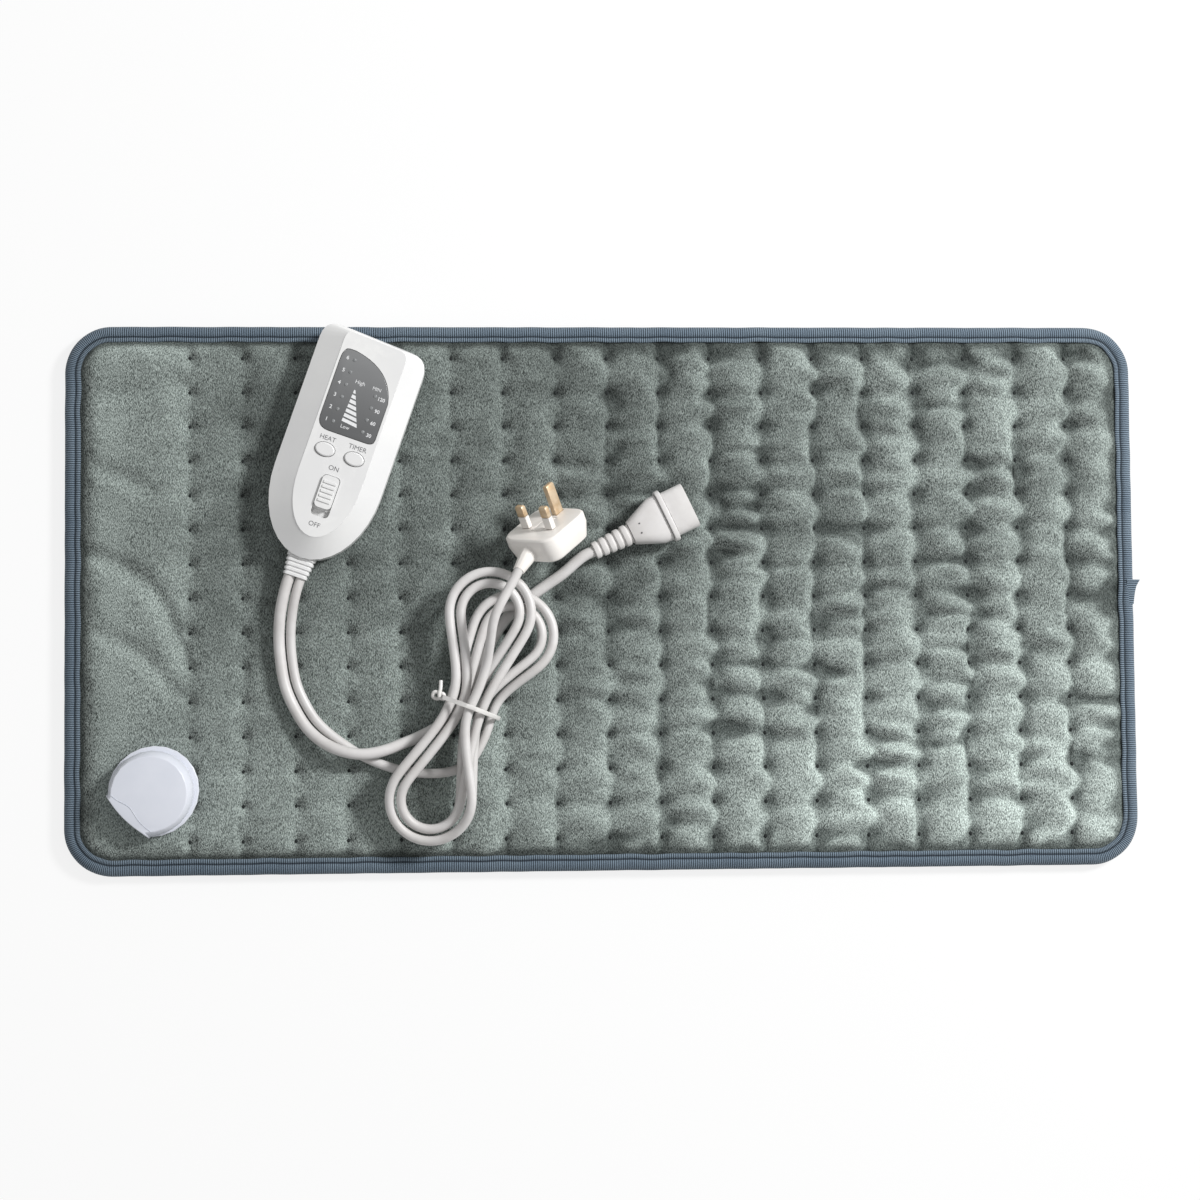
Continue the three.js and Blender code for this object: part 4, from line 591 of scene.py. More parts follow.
def fleece_finish():
    """Short pile with painted light: pale where it faces the lamp, a painted sheen, and painted shade in
    the dimples.
    """
    made = Finish("pile_fleece")
    coords = made.add("TexCoord").outputs
    place = coords["Object"]
    x, y, z = made.add("SeparateXYZ", Vector=place).outputs
    combed = made.add("Mapping", Vector=place, Rotation=(0, 0, PILE_LEAN), Scale=PILE_STRETCH)
    streak, tuft = made.noise(combed.outputs["Vector"], 2300.0), made.noise(place, 500.0)
    pile = made.total((streak, 0.88), (tuft, 0.12))
    # Painted light and shade: faces that turn towards the lamp on the right (+X, a little +Y) are painted
    # pale, faces that turn away are painted dark.
    facing = made.add("SeparateXYZ", Vector=coords["Normal"]).outputs
    painted_facing_light = made.ramp(made.total((facing["X"], 1.0), (facing["Y"], 0.5)), -0.32, 0.14)
    body = made.mix(painted_facing_light, "0f1413", "b8c6c0")
    tips = made.ramp(pile, 0.36, 0.64)
    coloured = made.mix(tips, made.mix(0.75, body, "191f1d"), made.mix(0.5, body, "d9e4df"))
    # Painted shade: the colour darkens with low height, in the hollows beside the seams and most in the
    # pits at the stitches.
    painted_hollow_shade = made.ramp(z, 0.0084, 0.0101, 0.68, 0.0, smooth=True)
    painted_pit_shade = made.ramp(z, 0.0074, 0.009, 0.9, 0.0, smooth=True)
    shade_painted_colour = made.mix(made.math("MAXIMUM", painted_hollow_shade, painted_pit_shade), coloured, "1d2322")
    # Painted sheen and light: the lower half and the left margin are painted paler, and the left half
    # darker than the right. A slow random drift of tone is mixed in.
    lower_half = made.ramp(y, 0.04, -0.14, smooth=True)
    left_margin = made.ramp(x, -0.19, -0.26, smooth=True)
    raised = made.math("MAXIMUM", lower_half, left_margin)
    painted_sheen_and_drift = made.total((raised, 0.64), (made.use(drift_group, Scale=38.0), 0.36))
    painted_side_light = made.ramp(x, 0.0, 0.14, 0.72, 1.1, smooth=True)
    gain = made.math("MULTIPLY", made.ramp(painted_sheen_and_drift, 0, 1, 0.53, 1.42), painted_side_light)
    colour_with_painted_light = made.add("VectorMath", operation="SCALE", Vector=shade_painted_colour, Scale=gain)
    made.set(
        Base_Color=colour_with_painted_light.outputs["Vector"], Roughness=made.ramp(tips, 0, 1, 0.98, 0.82),
        Sheen_Weight=0.2, Sheen_Roughness=0.45, Sheen_Tint="c4cfca", Specular_IOR_Level=0.15,
    )
    made.bump(pile, 0.9, 0.0011)
    return made.material


fleece = fleece_finish()
print("fleece:", len(fleece.node_tree.nodes), "nodes")

# %% Ribbed tape and plain cloth
RIB_PITCH, RIB_WOBBLE = 0.0012, 2.2
ROLL_INNER, SEWN_LINE = (0.0036, 0.0033), 0.0041


def tape_finish():
    """Fine ribs across the tape, a dark sewn line along it, a paler roll inside that and a painted shadow
    along its inner edge.
    """
    made = Finish("ribbed_tape")
    along = made.add("UVMap", uv_map="along_edge").outputs["UV"]
    split = made.add("SeparateXYZ", Vector=along).outputs
    run, inwards = split["X"], split["Y"]
    turns = made.total((run, 2 * math.pi / RIB_PITCH), (made.noise(along, 120.0), RIB_WOBBLE))
    rib = made.ramp(made.math("SINE", turns), -1, 1)
    fuzz = made.noise(along, 2600.0)
    base = made.mix(made.use(drift_group, Scale=55.0), "728291", "7f8f9d")
    base = made.mix(made.ramp(inwards, *ROLL_INNER, 0.0, 0.5), base, "8797a4")
    flecks = made.ramp(fuzz, 0.55, 0.75, 0.0, 0.4)
    flecked = made.mix(flecks, made.mix(rib, "2b3640", base), "97a6b3")
    from_line = made.math("ABSOLUTE", made.math("SUBTRACT", inwards, SEWN_LINE))
    sewn_line = made.ramp(from_line, 0.0003, 0.0008, 0.85, 0.0)
    # Painted shadow: a dark line along the tape's inner edge, where it meets the fleece.
    painted_edge_shadow = made.ramp(inwards, 0.0005, 0.0011, 0.85, 0.0)
    made.set(
        Base_Color=made.mix(made.math("MAXIMUM", sewn_line, painted_edge_shadow), flecked, "1f2831"),
        Roughness=made.ramp(fuzz, 0.3, 0.7, 0.75, 0.95), Sheen_Weight=0.15, Specular_IOR_Level=0.2,
    )
    made.bump(made.total((rib, 1.0), (fuzz, 0.5)), 0.8, 0.0004)
    return made.material


def weave_finish(name, base, shade, pitch):
    """A plain weave: two crossed waves, with a drift of tone."""
    made = Finish(name)
    split = made.add("SeparateXYZ", Vector=made.place()).outputs
    turns = [made.math("MULTIPLY", split[way], 2 * math.pi / pitch) for way in ("X", "Y")]
    warp, weft = (made.math("SINE", wave) for wave in turns)
    thread = made.ramp(made.math("MULTIPLY", warp, weft), -1, 1)
    cloth = made.mix(made.use(drift_group, Scale=30.0), base, shade)
    made.set(
        Base_Color=made.mix(made.math("MULTIPLY", thread, 0.3), cloth, "2b3233"),
        Roughness=made.ramp(thread, 0, 1, 0.8, 0.95),
    )
    made.bump(thread, 0.5, 0.0003)
    return made.material


tape = tape_finish()
under_weave = weave_finish("under_weave", "6f7c79", "616e6c", 0.0016)
felt_fibre = weave_finish("felt_fibre", "cfcbc2", "bdb9b0", 0.0023)
thread_grey = weave_finish("thread_grey", "1d2322", "141918", 0.0006)
print("cloth finishes:", [one.name for one in (tape, under_weave, felt_fibre, thread_grey)])

# %% [markdown]
# ## The quilted top
# The top is one sheet of fleece over a filling, sewn down at a grid of small stitches. Between four
# stitches it swells, and because the sheet is a little longer than the pad it gathers in short folds
# across the columns. A cloth simulation gives just that: a flat grid is held down along every column of
# stitches and under the tape, and is given slack and a light pressure from below. Between two stitches
# the held line rises a little and swings to one side, as a fold laps over it. The left margin has no
# stitches.

# %% The grid: its lines pass through every stitch
PAD_X, PAD_Y, CORNER = 295.0, 150.0, 26.0
EDGE_IN, TAPE_IN = 2.0, 8.4
STITCH_X = np.linspace(-227.0, 257.0, 18)
STITCH_Y = np.linspace(-131.6, 131.6, 15)
CELLS_X, CELLS_Y = 10, 7
LEFT_CELLS, RIGHT_CELLS, END_CELLS = 20, 9, 3
EDGE_LOW, TAPE_LOW, STITCH_LOW, START_Z = 6.3, 7.3, 7.3, 8.6


def grid_lines(half, stitches, cells, before, after):
    """Places of the grid lines across the pad, with a fine step under the tape."""
    parts = [[-half + EDGE_IN], np.linspace(-half + TAPE_IN, stitches[0], before + 1)[:-1]]
    parts += [np.linspace(a, b, cells + 1)[:-1] for a, b in zip(stitches, stitches[1:])]
    parts += [np.linspace(stitches[-1], half - TAPE_IN, after + 1), [half - EDGE_IN]]
    return np.concatenate(parts)


lines_x = grid_lines(PAD_X, STITCH_X, CELLS_X, LEFT_CELLS, RIGHT_CELLS)
lines_y = grid_lines(PAD_Y, STITCH_Y, CELLS_Y, END_CELLS, END_CELLS)
last_x, last_y = len(lines_x) - 1, len(lines_y) - 1
top = add(bpy.ops.mesh.primitive_grid_add, x_subdivisions=last_x, y_subdivisions=last_y, size=2)
square = get_points(top, 1)
column = np.rint((square[:, 0] + 1) / 2 * last_x).astype(int)
row = np.rint((square[:, 1] + 1) / 2 * last_y).astype(int)
at_x, at_y = lines_x[column], lines_y[row]
stitch_column = np.isin(np.round(at_x, 3), np.round(STITCH_X, 3))
stitch_row = np.isin(np.round(at_y, 3), np.round(STITCH_Y, 3))
sewn = stitch_column & stitch_row
edge = np.isin(column, (0, last_x)) | np.isin(row, (0, last_y))
taped = np.isin(column, (1, last_x - 1)) | np.isin(row, (1, last_y - 1))
free = ~(stitch_column | taped | edge)
print("grid:", len(lines_x), "by", len(lines_y), "lines,", int(sewn.sum()), "stitches")

# %% Start the sheet flat, held low along the seams
SEAM_LOW, SEAM_SPREAD, LAP = 9.2, 0.5, (-1.4, 5.6)
LAP_LEFT, LAP_RIGHT, ARCH_SHAPE = 0.35, 1.15, 0.6
STILL_LEFT, GROWS_LEFT, STILL_RIGHT, GROWS_RIGHT = -262, 35, 288, 30


def round_corners(x, y):
    """Draws the square corners of a grid in to the pad's round ones."""
    reach = CORNER - EDGE_IN
    past_x = np.maximum(np.abs(x) - (PAD_X - CORNER), 0) / reach
    past_y = np.maximum(np.abs(y) - (PAD_Y - CORNER), 0) / reach
    share = np.maximum(past_x, past_y) / np.maximum(np.hypot(past_x, past_y), 1e-9)
    share = np.where((past_x > 0) & (past_y > 0), share, 1.0)
    new_x = np.where(past_x > 0, np.sign(x) * (PAD_X - CORNER + past_x * share * reach), x)
    new_y = np.where(past_y > 0, np.sign(y) * (PAD_Y - CORNER + past_y * share * reach), y)
    return new_x, new_y


draw = np.random.default_rng(7)
seam_count, gap_count = len(STITCH_X), len(STITCH_Y) - 1
lap = draw.uniform(*LAP, (seam_count, gap_count)) * np.linspace(LAP_LEFT, LAP_RIGHT, seam_count)[:, None]
seam_rise = SEAM_LOW + SEAM_SPREAD * draw.uniform(-1, 1, (seam_count, gap_count)) - STITCH_LOW
along_x = np.interp(at_x, STITCH_X, np.arange(seam_count))
along_y = np.interp(at_y, STITCH_Y, np.arange(gap_count + 1))
seam_left = np.minimum(along_x.astype(int), seam_count - 2)
gap_row = np.minimum(along_y.astype(int), gap_count - 1)
arch = np.sin(math.pi * (along_y - gap_row))
share_right = along_x - seam_left
lap_left, lap_right = lap[seam_left, gap_row], lap[seam_left + 1, gap_row]
sideways = ((1 - share_right) * lap_left + share_right * lap_right) * arch
sideways *= np.clip((at_x - STILL_LEFT) / GROWS_LEFT, 0, 1)
sideways *= np.clip((STILL_RIGHT - at_x) / GROWS_RIGHT, 0, 1)
start_x, start_y = round_corners(at_x + sideways, at_y)
# The free points get waves below. This first draw for them keeps the later draws in their order.
start_z = START_Z + draw.standard_normal(len(at_x))
seam_at = np.rint(along_x).astype(int)
seam_z = STITCH_LOW + seam_rise[seam_at, gap_row] * np.abs(arch) ** ARCH_SHAPE
for points, level in ((stitch_column, seam_z), (taped, TAPE_LOW), (edge, EDGE_LOW)):
    start_z = np.where(points, level, start_z)
held = top.vertex_groups.new(name="sewn_down")
held.add(np.flatnonzero(~free).tolist(), 1.0, "REPLACE")
print("held points:", int((~free).sum()), "of", len(at_x))

# %% Swell the sheet
# Cloth moves too little at a real millimetre scale, so it is simulated twenty times as large.
SLACK_X, SLACK_Y, SLACK_WAVE, FRAMES, LARGE = 1.07, 1.16, 1.2, 20, 20.0
CLOTH = dict(
    quality=5, mass=0.05, air_damping=1.0, tension_stiffness=15.0, compression_stiffness=15.0,
    shear_stiffness=4.0, bending_stiffness=1.2, use_pressure=True, uniform_pressure_force=5.0,
)


def waves(length, count=60, about=0.0, spread=math.pi):
    """A seeded sum of waves of about this length over the pad, of unit size."""
    total = np.zeros(len(at_x))
    for _ in range(count):
        angle, phase = about + draw.uniform(-spread, spread), draw.uniform(0, 2 * math.pi)
        wave = length * draw.uniform(0.7, 1.5)
        total += np.sin(2 * math.pi * (at_x * math.cos(angle) + at_y * math.sin(angle)) / wave + phase)
    return total * math.sqrt(2 / count)


def swell(piece):
    """Runs the cloth with slack along both ways and returns the points where it came to lie."""
    set_points(piece, start_x * LARGE, start_y * LARGE, start_z * LARGE)
    piece.shape_key_add(name="flat")
    slack = piece.shape_key_add(name="slack")
    slack.data.foreach_set("co", (np.stack([loose_x, loose_y, start_z], axis=1) * MM * LARGE).ravel())
    cloth = piece.modifiers.new("swell", "CLOTH")
    for key, value in CLOTH.items():
        setattr(cloth.settings, key, value)
    cloth.settings.vertex_group_mass = held.name
    cloth.settings.rest_shape_key = slack
    cloth.settings.effector_weights.gravity = 0.0
    cloth.point_cache.frame_start, cloth.point_cache.frame_end = 1, FRAMES
    for frame_number in range(1, FRAMES + 1):
        scene.frame_set(frame_number)
    points = get_points(piece) / LARGE
    piece.modifiers.remove(cloth)
    piece.shape_key_clear()
    scene.frame_set(1)
    return points


start_z = np.where(free, START_Z + 0.35 * waves(22) + 0.25 * waves(11), start_z)
loose_x = start_x * SLACK_X + SLACK_WAVE * waves(55)
loose_y = start_y * SLACK_Y + SLACK_WAVE * waves(45)
swollen = swell(top)
print("top before the cap: z from", round(swollen[:, 2].min(), 2), "to", round(swollen[:, 2].max(), 2))

# %% [markdown]
# The real sheet also gathers in short folds and sharp creases that run across the columns, more of them
# towards the right. They are added as waves that fade out at the stitches. Then the crests are capped,
# because the handset and the leads rest on them, and each column leans over the seam on its right. To
# the left the columns are fuller and flatter, with narrow dimples, and four soft folds cross the margin.

# %% Folds, cap and lean
FOLD, CREASE, CAP, MARGIN_CAP, CAP_START = 0.45, 1.8, 12.95, 11.3, 10.6
LAP_OVER, LEAN, FLAT_TOP = 0.8, 0.65, 12.0
STITCH_FADE, EDGE_FADE, LEAN_FADE = 7.0, 8.0, 12.0
DIMPLE, DIMPLE_SLOPE = 0.8, 2.6
FOLDS_BY_X = [-295, -100, 60, 295], [0.45, 0.6, 1.1, 1.25]
RELIEF_BY_X = [-150, -60, 20, 70], [0.3, 0.6, 0.95, 1.0]
CAP_BY_X = [-262, -232], [MARGIN_CAP, CAP]
FOLD_WIDTH = 4.5
MARGIN_FOLDS = [
    (1.7, [(-284, 26), (-260, 16), (-245, 2), (-230, -32)]),
    (1.1, [(-284, 75), (-264, 67), (-248, 58)]),
    (1.1, [(-282, -16), (-256, -28), (-234, -52)]),
    (0.9, [(-284, 112), (-258, 113), (-232, 119)]),
]
to_column = np.abs(at_x[:, None] - STITCH_X).min(axis=1)
to_row = np.abs(at_y[:, None] - STITCH_Y).min(axis=1)
to_stitch = np.hypot(to_column, to_row)
from_edge = np.minimum(PAD_X - np.abs(at_x), PAD_Y - np.abs(at_y)) - TAPE_IN
inside = np.clip(from_edge / EDGE_FADE, 0, 1)
towards_right = np.interp(at_x, *FOLDS_BY_X)
relief = np.interp(at_x, *RELIEF_BY_X)
cap = np.interp(at_x, *CAP_BY_X)

gathers = waves(13, about=math.pi / 2, spread=0.4) * (0.6 + 0.5 * waves(60))
gathers += 0.6 * waves(26, about=1.2, spread=0.5)
creases = np.tanh(2.4 * np.abs(waves(44, about=math.pi / 2, spread=0.22))) - 1
creases *= np.clip(0.45 + 0.7 * waves(75), 0, 1.3)
fade = np.clip(to_stitch / STITCH_FADE, 0, 1) * inside
height = swollen[:, 2] + (FOLD * gathers + CREASE * creases) * fade * towards_right
over = np.maximum(height - CAP_START, 0)
height = np.where(over > 0, CAP_START + (cap - CAP_START) * np.tanh(over / (cap - CAP_START)), height)
height = np.where(free, np.maximum(height, STITCH_LOW), start_z)
filled = (1 - relief) * np.clip((to_stitch - DIMPLE) / DIMPLE_SLOPE, 0, 1) * inside
height += filled * np.maximum(np.minimum(cap, FLAT_TOP) - height, 0)
for depth, points in MARGIN_FOLDS:
    line = smooth_line([(x, y, 0) for x, y in points], 1.0)
    gap = np.hypot(at_x[:, None] - line[:, 0], at_y[:, None] - line[:, 1]).min(axis=1)
    height -= np.where(free, depth * np.exp(-((gap / FOLD_WIDTH) ** 2)) * inside, 0)
pitch = STITCH_X[1] - STITCH_X[0]
lean = LEAN * pitch / math.pi * np.sin(math.pi * share_right) * np.clip(0.75 + 0.35 * waves(70), 0.3, 1)
lapped = LAP_OVER * np.maximum(height - SEAM_LOW, 0) * np.clip(towards_right, 0, 1)
lapped = (lapped + lean) * relief * np.clip(from_edge / LEAN_FADE, 0, 1)
set_points(top, swollen[:, 0] + lapped, swollen[:, 1], height)
print("top: z from", round(height.min(), 2), "to", round(height.max(), 2))

# %% Smooth the sheet and close it below
UNDERSIDE = 5.7
apply_modifier(top, "SUBSURF", levels=1, render_levels=1)
stitch_seats = get_points(top)[: len(at_x)][sewn]
edit(top)
bpy.ops.mesh.select_all(action="DESELECT")
bpy.ops.mesh.select_mode(type="EDGE")
bpy.ops.mesh.select_non_manifold(extend=False)
bpy.ops.mesh.extrude_region_move()
bpy.ops.transform.resize(value=(1, 1, 0), center_override=(0, 0, UNDERSIDE * MM))
bpy.ops.mesh.edge_face_add()
bpy.ops.mesh.select_mode(type="VERT")
bpy.ops.mesh.select_all(action="SELECT")
bpy.ops.mesh.normals_make_consistent(inside=False)
done()
top = settle(top, "fleece_top", fleece, "fleece", stands_for=["quilted_top"], smooth=60)
print("fleece top:", len(top.data.polygons), "faces")

# %% [markdown]
# ## Stitches
# Each stitch is a short bar of dark thread at the bottom of its dimple. One is modelled from a small
# sphere drawn out along the column, then copied to the place where the sheet came to lie at each stitch.

# %% Stitch threads
BAR, BAR_RISE, BAR_TURN = (1.0, 1.3, 0.6), 0.15, 0.35


def copied(model, placings):
    """Joins copies of one model, each with its own mesh, at many places. The model itself is removed."""
    copies = []
    for placing in placings:
        copy = model.copy()
        copy.data = model.data.copy()
        copy.matrix_world = placing
        scene.collection.objects.link(copy)
        copies.append(copy)
    bpy.data.objects.remove(model)
    return joined(copies)


one_stitch = add(bpy.ops.mesh.primitive_uv_sphere_add, segments=8, ring_count=4, radius=MM)
edit(one_stitch)
bpy.ops.transform.resize(value=BAR)
done()
seats = []
for x, y, z in stitch_seats:
    twist = Matrix.Rotation(float(draw.uniform(-BAR_TURN, BAR_TURN)), 4, "Z")
    seats.append(Matrix.Translation((x * MM, y * MM, (z + BAR_RISE) * MM)) @ twist)
settle(copied(one_stitch, seats), "stitch_threads", thread_grey, "fleece", smooth=80)
lowest, highest = stitch_seats[:, 2].min().round(2), stitch_seats[:, 2].max().round(2)
print("stitches:", len(seats), "from", lowest, "to", highest, "mm up")

# %% [markdown]
# ## Edge tape
# A ribbed tape is folded round the whole edge and sewn on with a line of stitching near its inner edge,
# which leaves a narrow roll inside the wide one. Its section is drawn once and carried round the edge,
# with a slow waver, and a UV map runs along it so that the ribs stay square to the edge.

# %% The tape's section and path
TAPE_SECTION = np.array([
    (9.0, 7.6), (9.05, 8.3), (8.6, 8.85), (7.8, 9.0), (7.0, 8.85), (6.45, 8.3), (5.95, 8.25), (5.4, 8.8),
    (4.4, 9.15), (3.2, 9.0), (2.0, 8.45), (1.0, 7.5), (0.3, 6.1), (0.0, 4.5), (0.25, 2.9), (0.9, 1.5),
    (1.9, 0.5), (3.2, 0.05), (5.5, 0.0), (8.9, 0.05), (9.0, 0.8), (3.0, 0.95), (1.6, 2.2), (1.15, 4.4),
    (1.5, 6.2), (3.0, 7.4),
])
TAPE_STEP, WAVER, WAVER_COUNTS = 2.4, 0.11, (37, 53, 71, 96)


def edge_path():
    """The centre of rounding and the way outwards for each place round the pad's outline."""
    corners = np.array([(1, -1), (1, 1), (-1, 1), (-1, -1)]) * (PAD_X - CORNER, PAD_Y - CORNER)
    quarter = 0.5 * math.pi
    bends = round(quarter * CORNER / TAPE_STEP)
    places, angles = [], []
    for side, (start, end) in enumerate(zip(corners, np.roll(corners, -1, axis=0))):
        steps = round(float(np.abs(end - start).sum()) / TAPE_STEP)
        places += [start + (end - start) * i / steps for i in range(steps)] + [end] * bends
        angles += [quarter * side] * steps + [quarter * (side + i / bends) for i in range(bends)]
    return np.array(places), np.stack([np.cos(angles), np.sin(angles)], axis=1)


centres, outward = edge_path()
rim = centres + outward * CORNER
travel = travelled(np.r_[rim, rim[:1]])
turn = travel[:-1] / travel[-1] * 2 * math.pi
waver = sum(np.sin(turn * k + draw.uniform(0, 6.3)) for k in WAVER_COUNTS) * WAVER
print("edge path:", len(rim), "places")

# %% Carry the section round
CORNERS_OF_FACE = (0, 0), (0, 1), (1, 1), (1, 0)
WAVER_BY_INSET, WAVER_RISE = ([0, 9], [0.3, 1.0]), 0.35
inset, rise = TAPE_SECTION.T
swing = waver[:, None] * np.interp(inset, *WAVER_BY_INSET)
sides = centres[:, None] + outward[:, None] * (CORNER - inset + swing)[..., None]
tape_points = np.concatenate([sides, (rise + WAVER_RISE * swing)[..., None]], axis=2)
across_length = travelled(np.r_[TAPE_SECTION, TAPE_SECTION[:1]])
round_count, across = swing.shape
faces, corners_uv = [], []
for i in range(round_count):
    for j in range(across):
        faces.append([(i + a) % round_count * across + (j + b) % across for a, b in CORNERS_OF_FACE])
        corners_uv += [(travel[i + a], across_length[j + b]) for a, b in CORNERS_OF_FACE]
tape_mesh = bpy.data.meshes.new("edge_tape")
tape_mesh.from_pydata((tape_points.reshape(-1, 3) * MM).tolist(), [], faces)
tape_mesh.uv_layers.new(name="along_edge").data.foreach_set("uv", (np.array(corners_uv) * MM).ravel())
edge_tape = bpy.data.objects.new("edge_tape", tape_mesh)
scene.collection.objects.link(edge_tape)
print("tape:", len(faces), "faces")

# %% The loose end of the tape on the right
END_Y, END_STEP, END_THICK, END_ROOT = 8.0, 3.4, 0.8, 4.4
END_TIPS = (3.2, 1.3, 0.4, -0.1, -0.5)
END_BEND = [-END_ROOT, -1.8, 0.2, 3.6], [9.3, 9.2, 8.4, 7.9]
END_LIFT, END_SLOPE = 0.5, 0.12
END_UV_SIZE, END_UV_START = (4 * END_STEP * MM, 0.008), (0, 0.005)
tape_end = add(bpy.ops.mesh.primitive_grid_add, x_subdivisions=3, y_subdivisions=4, size=2)
square = get_points(tape_end, 1)
along = (1 - square[:, 1]) * 2
tip = np.interp(along, range(5), END_TIPS)
out = np.interp(square[:, 0], [-1, 1], [0, 1]) * (tip + END_ROOT) - END_ROOT
curl = np.interp(out, *END_BEND) + END_LIFT * np.maximum(1 - along, 0) - END_SLOPE * along
set_points(tape_end, PAD_X + out, END_Y - END_STEP * along, curl)
end_uv = tape_end.data.uv_layers[0]
end_uv.name = "along_edge"
spots = np.zeros(len(end_uv.data) * 2)
end_uv.data.foreach_get("uv", spots)
end_uv.data.foreach_set("uv", (spots.reshape(-1, 2)[:, ::-1] * END_UV_SIZE + END_UV_START).ravel())
apply_modifier(tape_end, "SOLIDIFY", thickness=END_THICK * MM, offset=-1.0)
edge_tape = joined([tape_end, edge_tape])
edit(edge_tape)
bpy.ops.mesh.normals_make_consistent(inside=False)
done()
settle(edge_tape, "edge_tape", tape, "tape", stands_for=["edge_binding"], smooth=60)

# %% [markdown]
# ## Underside cloth
# A plain woven cloth closes the pad below. It lies flat on whatever the pad lies on, and its edge goes
# into the fold of the tape, so it is a thin sheet with round corners and a slight unevenness.

# %% Underside
CLOTH_HEIGHT, CLOTH_THICK, CLOTH_UNEVEN, CLOTH_RIM = 1.15, 0.6, 0.12, 0.97
under = add(bpy.ops.mesh.primitive_grid_add, x_subdivisions=72, y_subdivisions=36, size=2)
square = get_points(under, 1)
under_x, under_y = round_corners(square[:, 0] * (PAD_X - EDGE_IN), square[:, 1] * (PAD_Y - EDGE_IN))
uneven = CLOTH_UNEVEN * np.sin(under_x / 17) * np.sin(under_y / 23)
set_points(under, under_x, under_y, CLOTH_HEIGHT + uneven * (np.abs(square).max(axis=1) < CLOTH_RIM))
apply_modifier(under, "SOLIDIFY", thickness=CLOTH_THICK * MM, offset=1.0)
settle(under, "underside_cloth", under_weave, "under_cloth", stands_for=["bottom_cover"], smooth=60)
print("underside:", len(under.data.polygons), "faces")

# %% [markdown]
# ## Moulded pieces with soft edges
# The solids of the handset, socket, connector and plug have the right shapes and sharp edges. A real
# moulding has none, so each visible one is copied, its loose triangles are merged into faces, and its
# edges get a small round. The copy stands for the solid and rides on the same body. The cover of the
# socket is first filled out, so that its flat crown reaches almost to the rim, except at the mouth.

# %% Round the edges of a copy
SOCKET = turned((-246, -104, 0), -45)
MOUTH, MOUTH_FADE, SHOULDER, CROWN, CROWN_GROWTH = -18.6, 12, 18.6, 25.0, 0.16
SAME_POINT, SAME_PLANE, SHARP_EDGE = 0.000004, math.radians(0.6), math.radians(28)


def fill_out(piece):
    """Carries the crown of the socket's cover outwards, more with the distance from its mouth."""
    inverse = SOCKET.inverted()
    for vertex in piece.data.vertices:
        x, y, z = inverse @ (vertex.co / MM)
        high = np.clip((z - SHOULDER) / (CROWN - SHOULDER), 0, 1) ** 1.5
        grow = 1 + CROWN_GROWTH * high * np.clip((y - MOUTH) / MOUTH_FADE, 0, 1)
        vertex.co = SOCKET @ Vector((x * grow, MOUTH + (y - MOUTH) * grow, z)) * MM


def moulding(source, name, finish, slot, edge, merge=True):
    """A copy of one solid with rounded edges, standing for it and riding on its body."""
    piece = frame["nodes"][source].copy()
    piece.data = piece.data.copy()
    for key in list(piece.keys()):
        del piece[key]
    piece.parent = None
    scene.collection.objects.link(piece)
    if source == "socket_cap":
        fill_out(piece)
    edit(piece)
    bpy.ops.mesh.remove_doubles(threshold=SAME_POINT)
    if merge:
        bpy.ops.mesh.dissolve_limited(angle_limit=SAME_PLANE)
    done()
    limits = dict(limit_method="ANGLE", angle_limit=SHARP_EDGE, use_clamp_overlap=True)
    apply_modifier(piece, "BEVEL", width=edge * MM, segments=3, **limits)
    settle(piece, name, finish, slot, source if source in frame["bodies"] else ROOT, [source])
    if slot == "white_plastic":
        apply_modifier(piece, "WEIGHTED_NORMAL", keep_sharp=True)
    return piece


MOULDINGS = [
    (case_white, "white_plastic", ("lower_case", "case_lower", 0.5), ("upper_case", "case_upper", 0.4)),
    (window_smoke, "window", ("display_lens", "display_window", 0.25)),
    (
        case_white, "white_plastic", ("heat_button", "heat_button_cap", 0.25),
        ("timer_button", "timer_button_cap", 0.25), ("power_slider", "power_slider_knob", 0.2),
        ("cord_gland", "lead_gland", 0.3),
    ),
    (
        socket_white, "socket_plastic", ("socket_base", "socket_plate", 0.6),
        ("socket_cap", "socket_cover", 1.2),
    ),
    (
        cord_white, "cord_rubber", ("connector_boot", "connector_sleeve", 0.35),
        ("connector_body", "connector_shell", 0.5), ("connector_collar", "connector_ring", 0.5),
    ),
    (
        plug_white, "plug_plastic", ("plug_body", "plug_shell", 0.45),
        ("fuse_carrier", "plug_fuse_cover", 0.25),
    ),
    (
        pin_brass, "brass", ("live_pin", "plug_live_pin", 0.25), ("neutral_pin", "plug_neutral_pin", 0.25),
        ("earth_pin", "plug_earth_pin", 0.3),
    ),
    (
        plug_white, "plug_plastic", ("live_sleeve", "plug_live_sleeve", 0.12),
        ("neutral_sleeve", "plug_neutral_sleeve", 0.12),
    ),
]
moulded_pieces = {}
for finish, slot, *rows in MOULDINGS:
    for source, name, edge in rows:
        moulded_pieces[name] = moulding(source, name, finish, slot, edge)
print("mouldings:", {name: len(piece.data.polygons) for name, piece in moulded_pieces.items()})

# %% [markdown]
# ## Pieces inside
# The felt, the heating wire, the board and its parts are shut in and hardly show. They keep the frame's
# own solids and only get their finishes. Behind the slot of the slide switch lies a white plate.

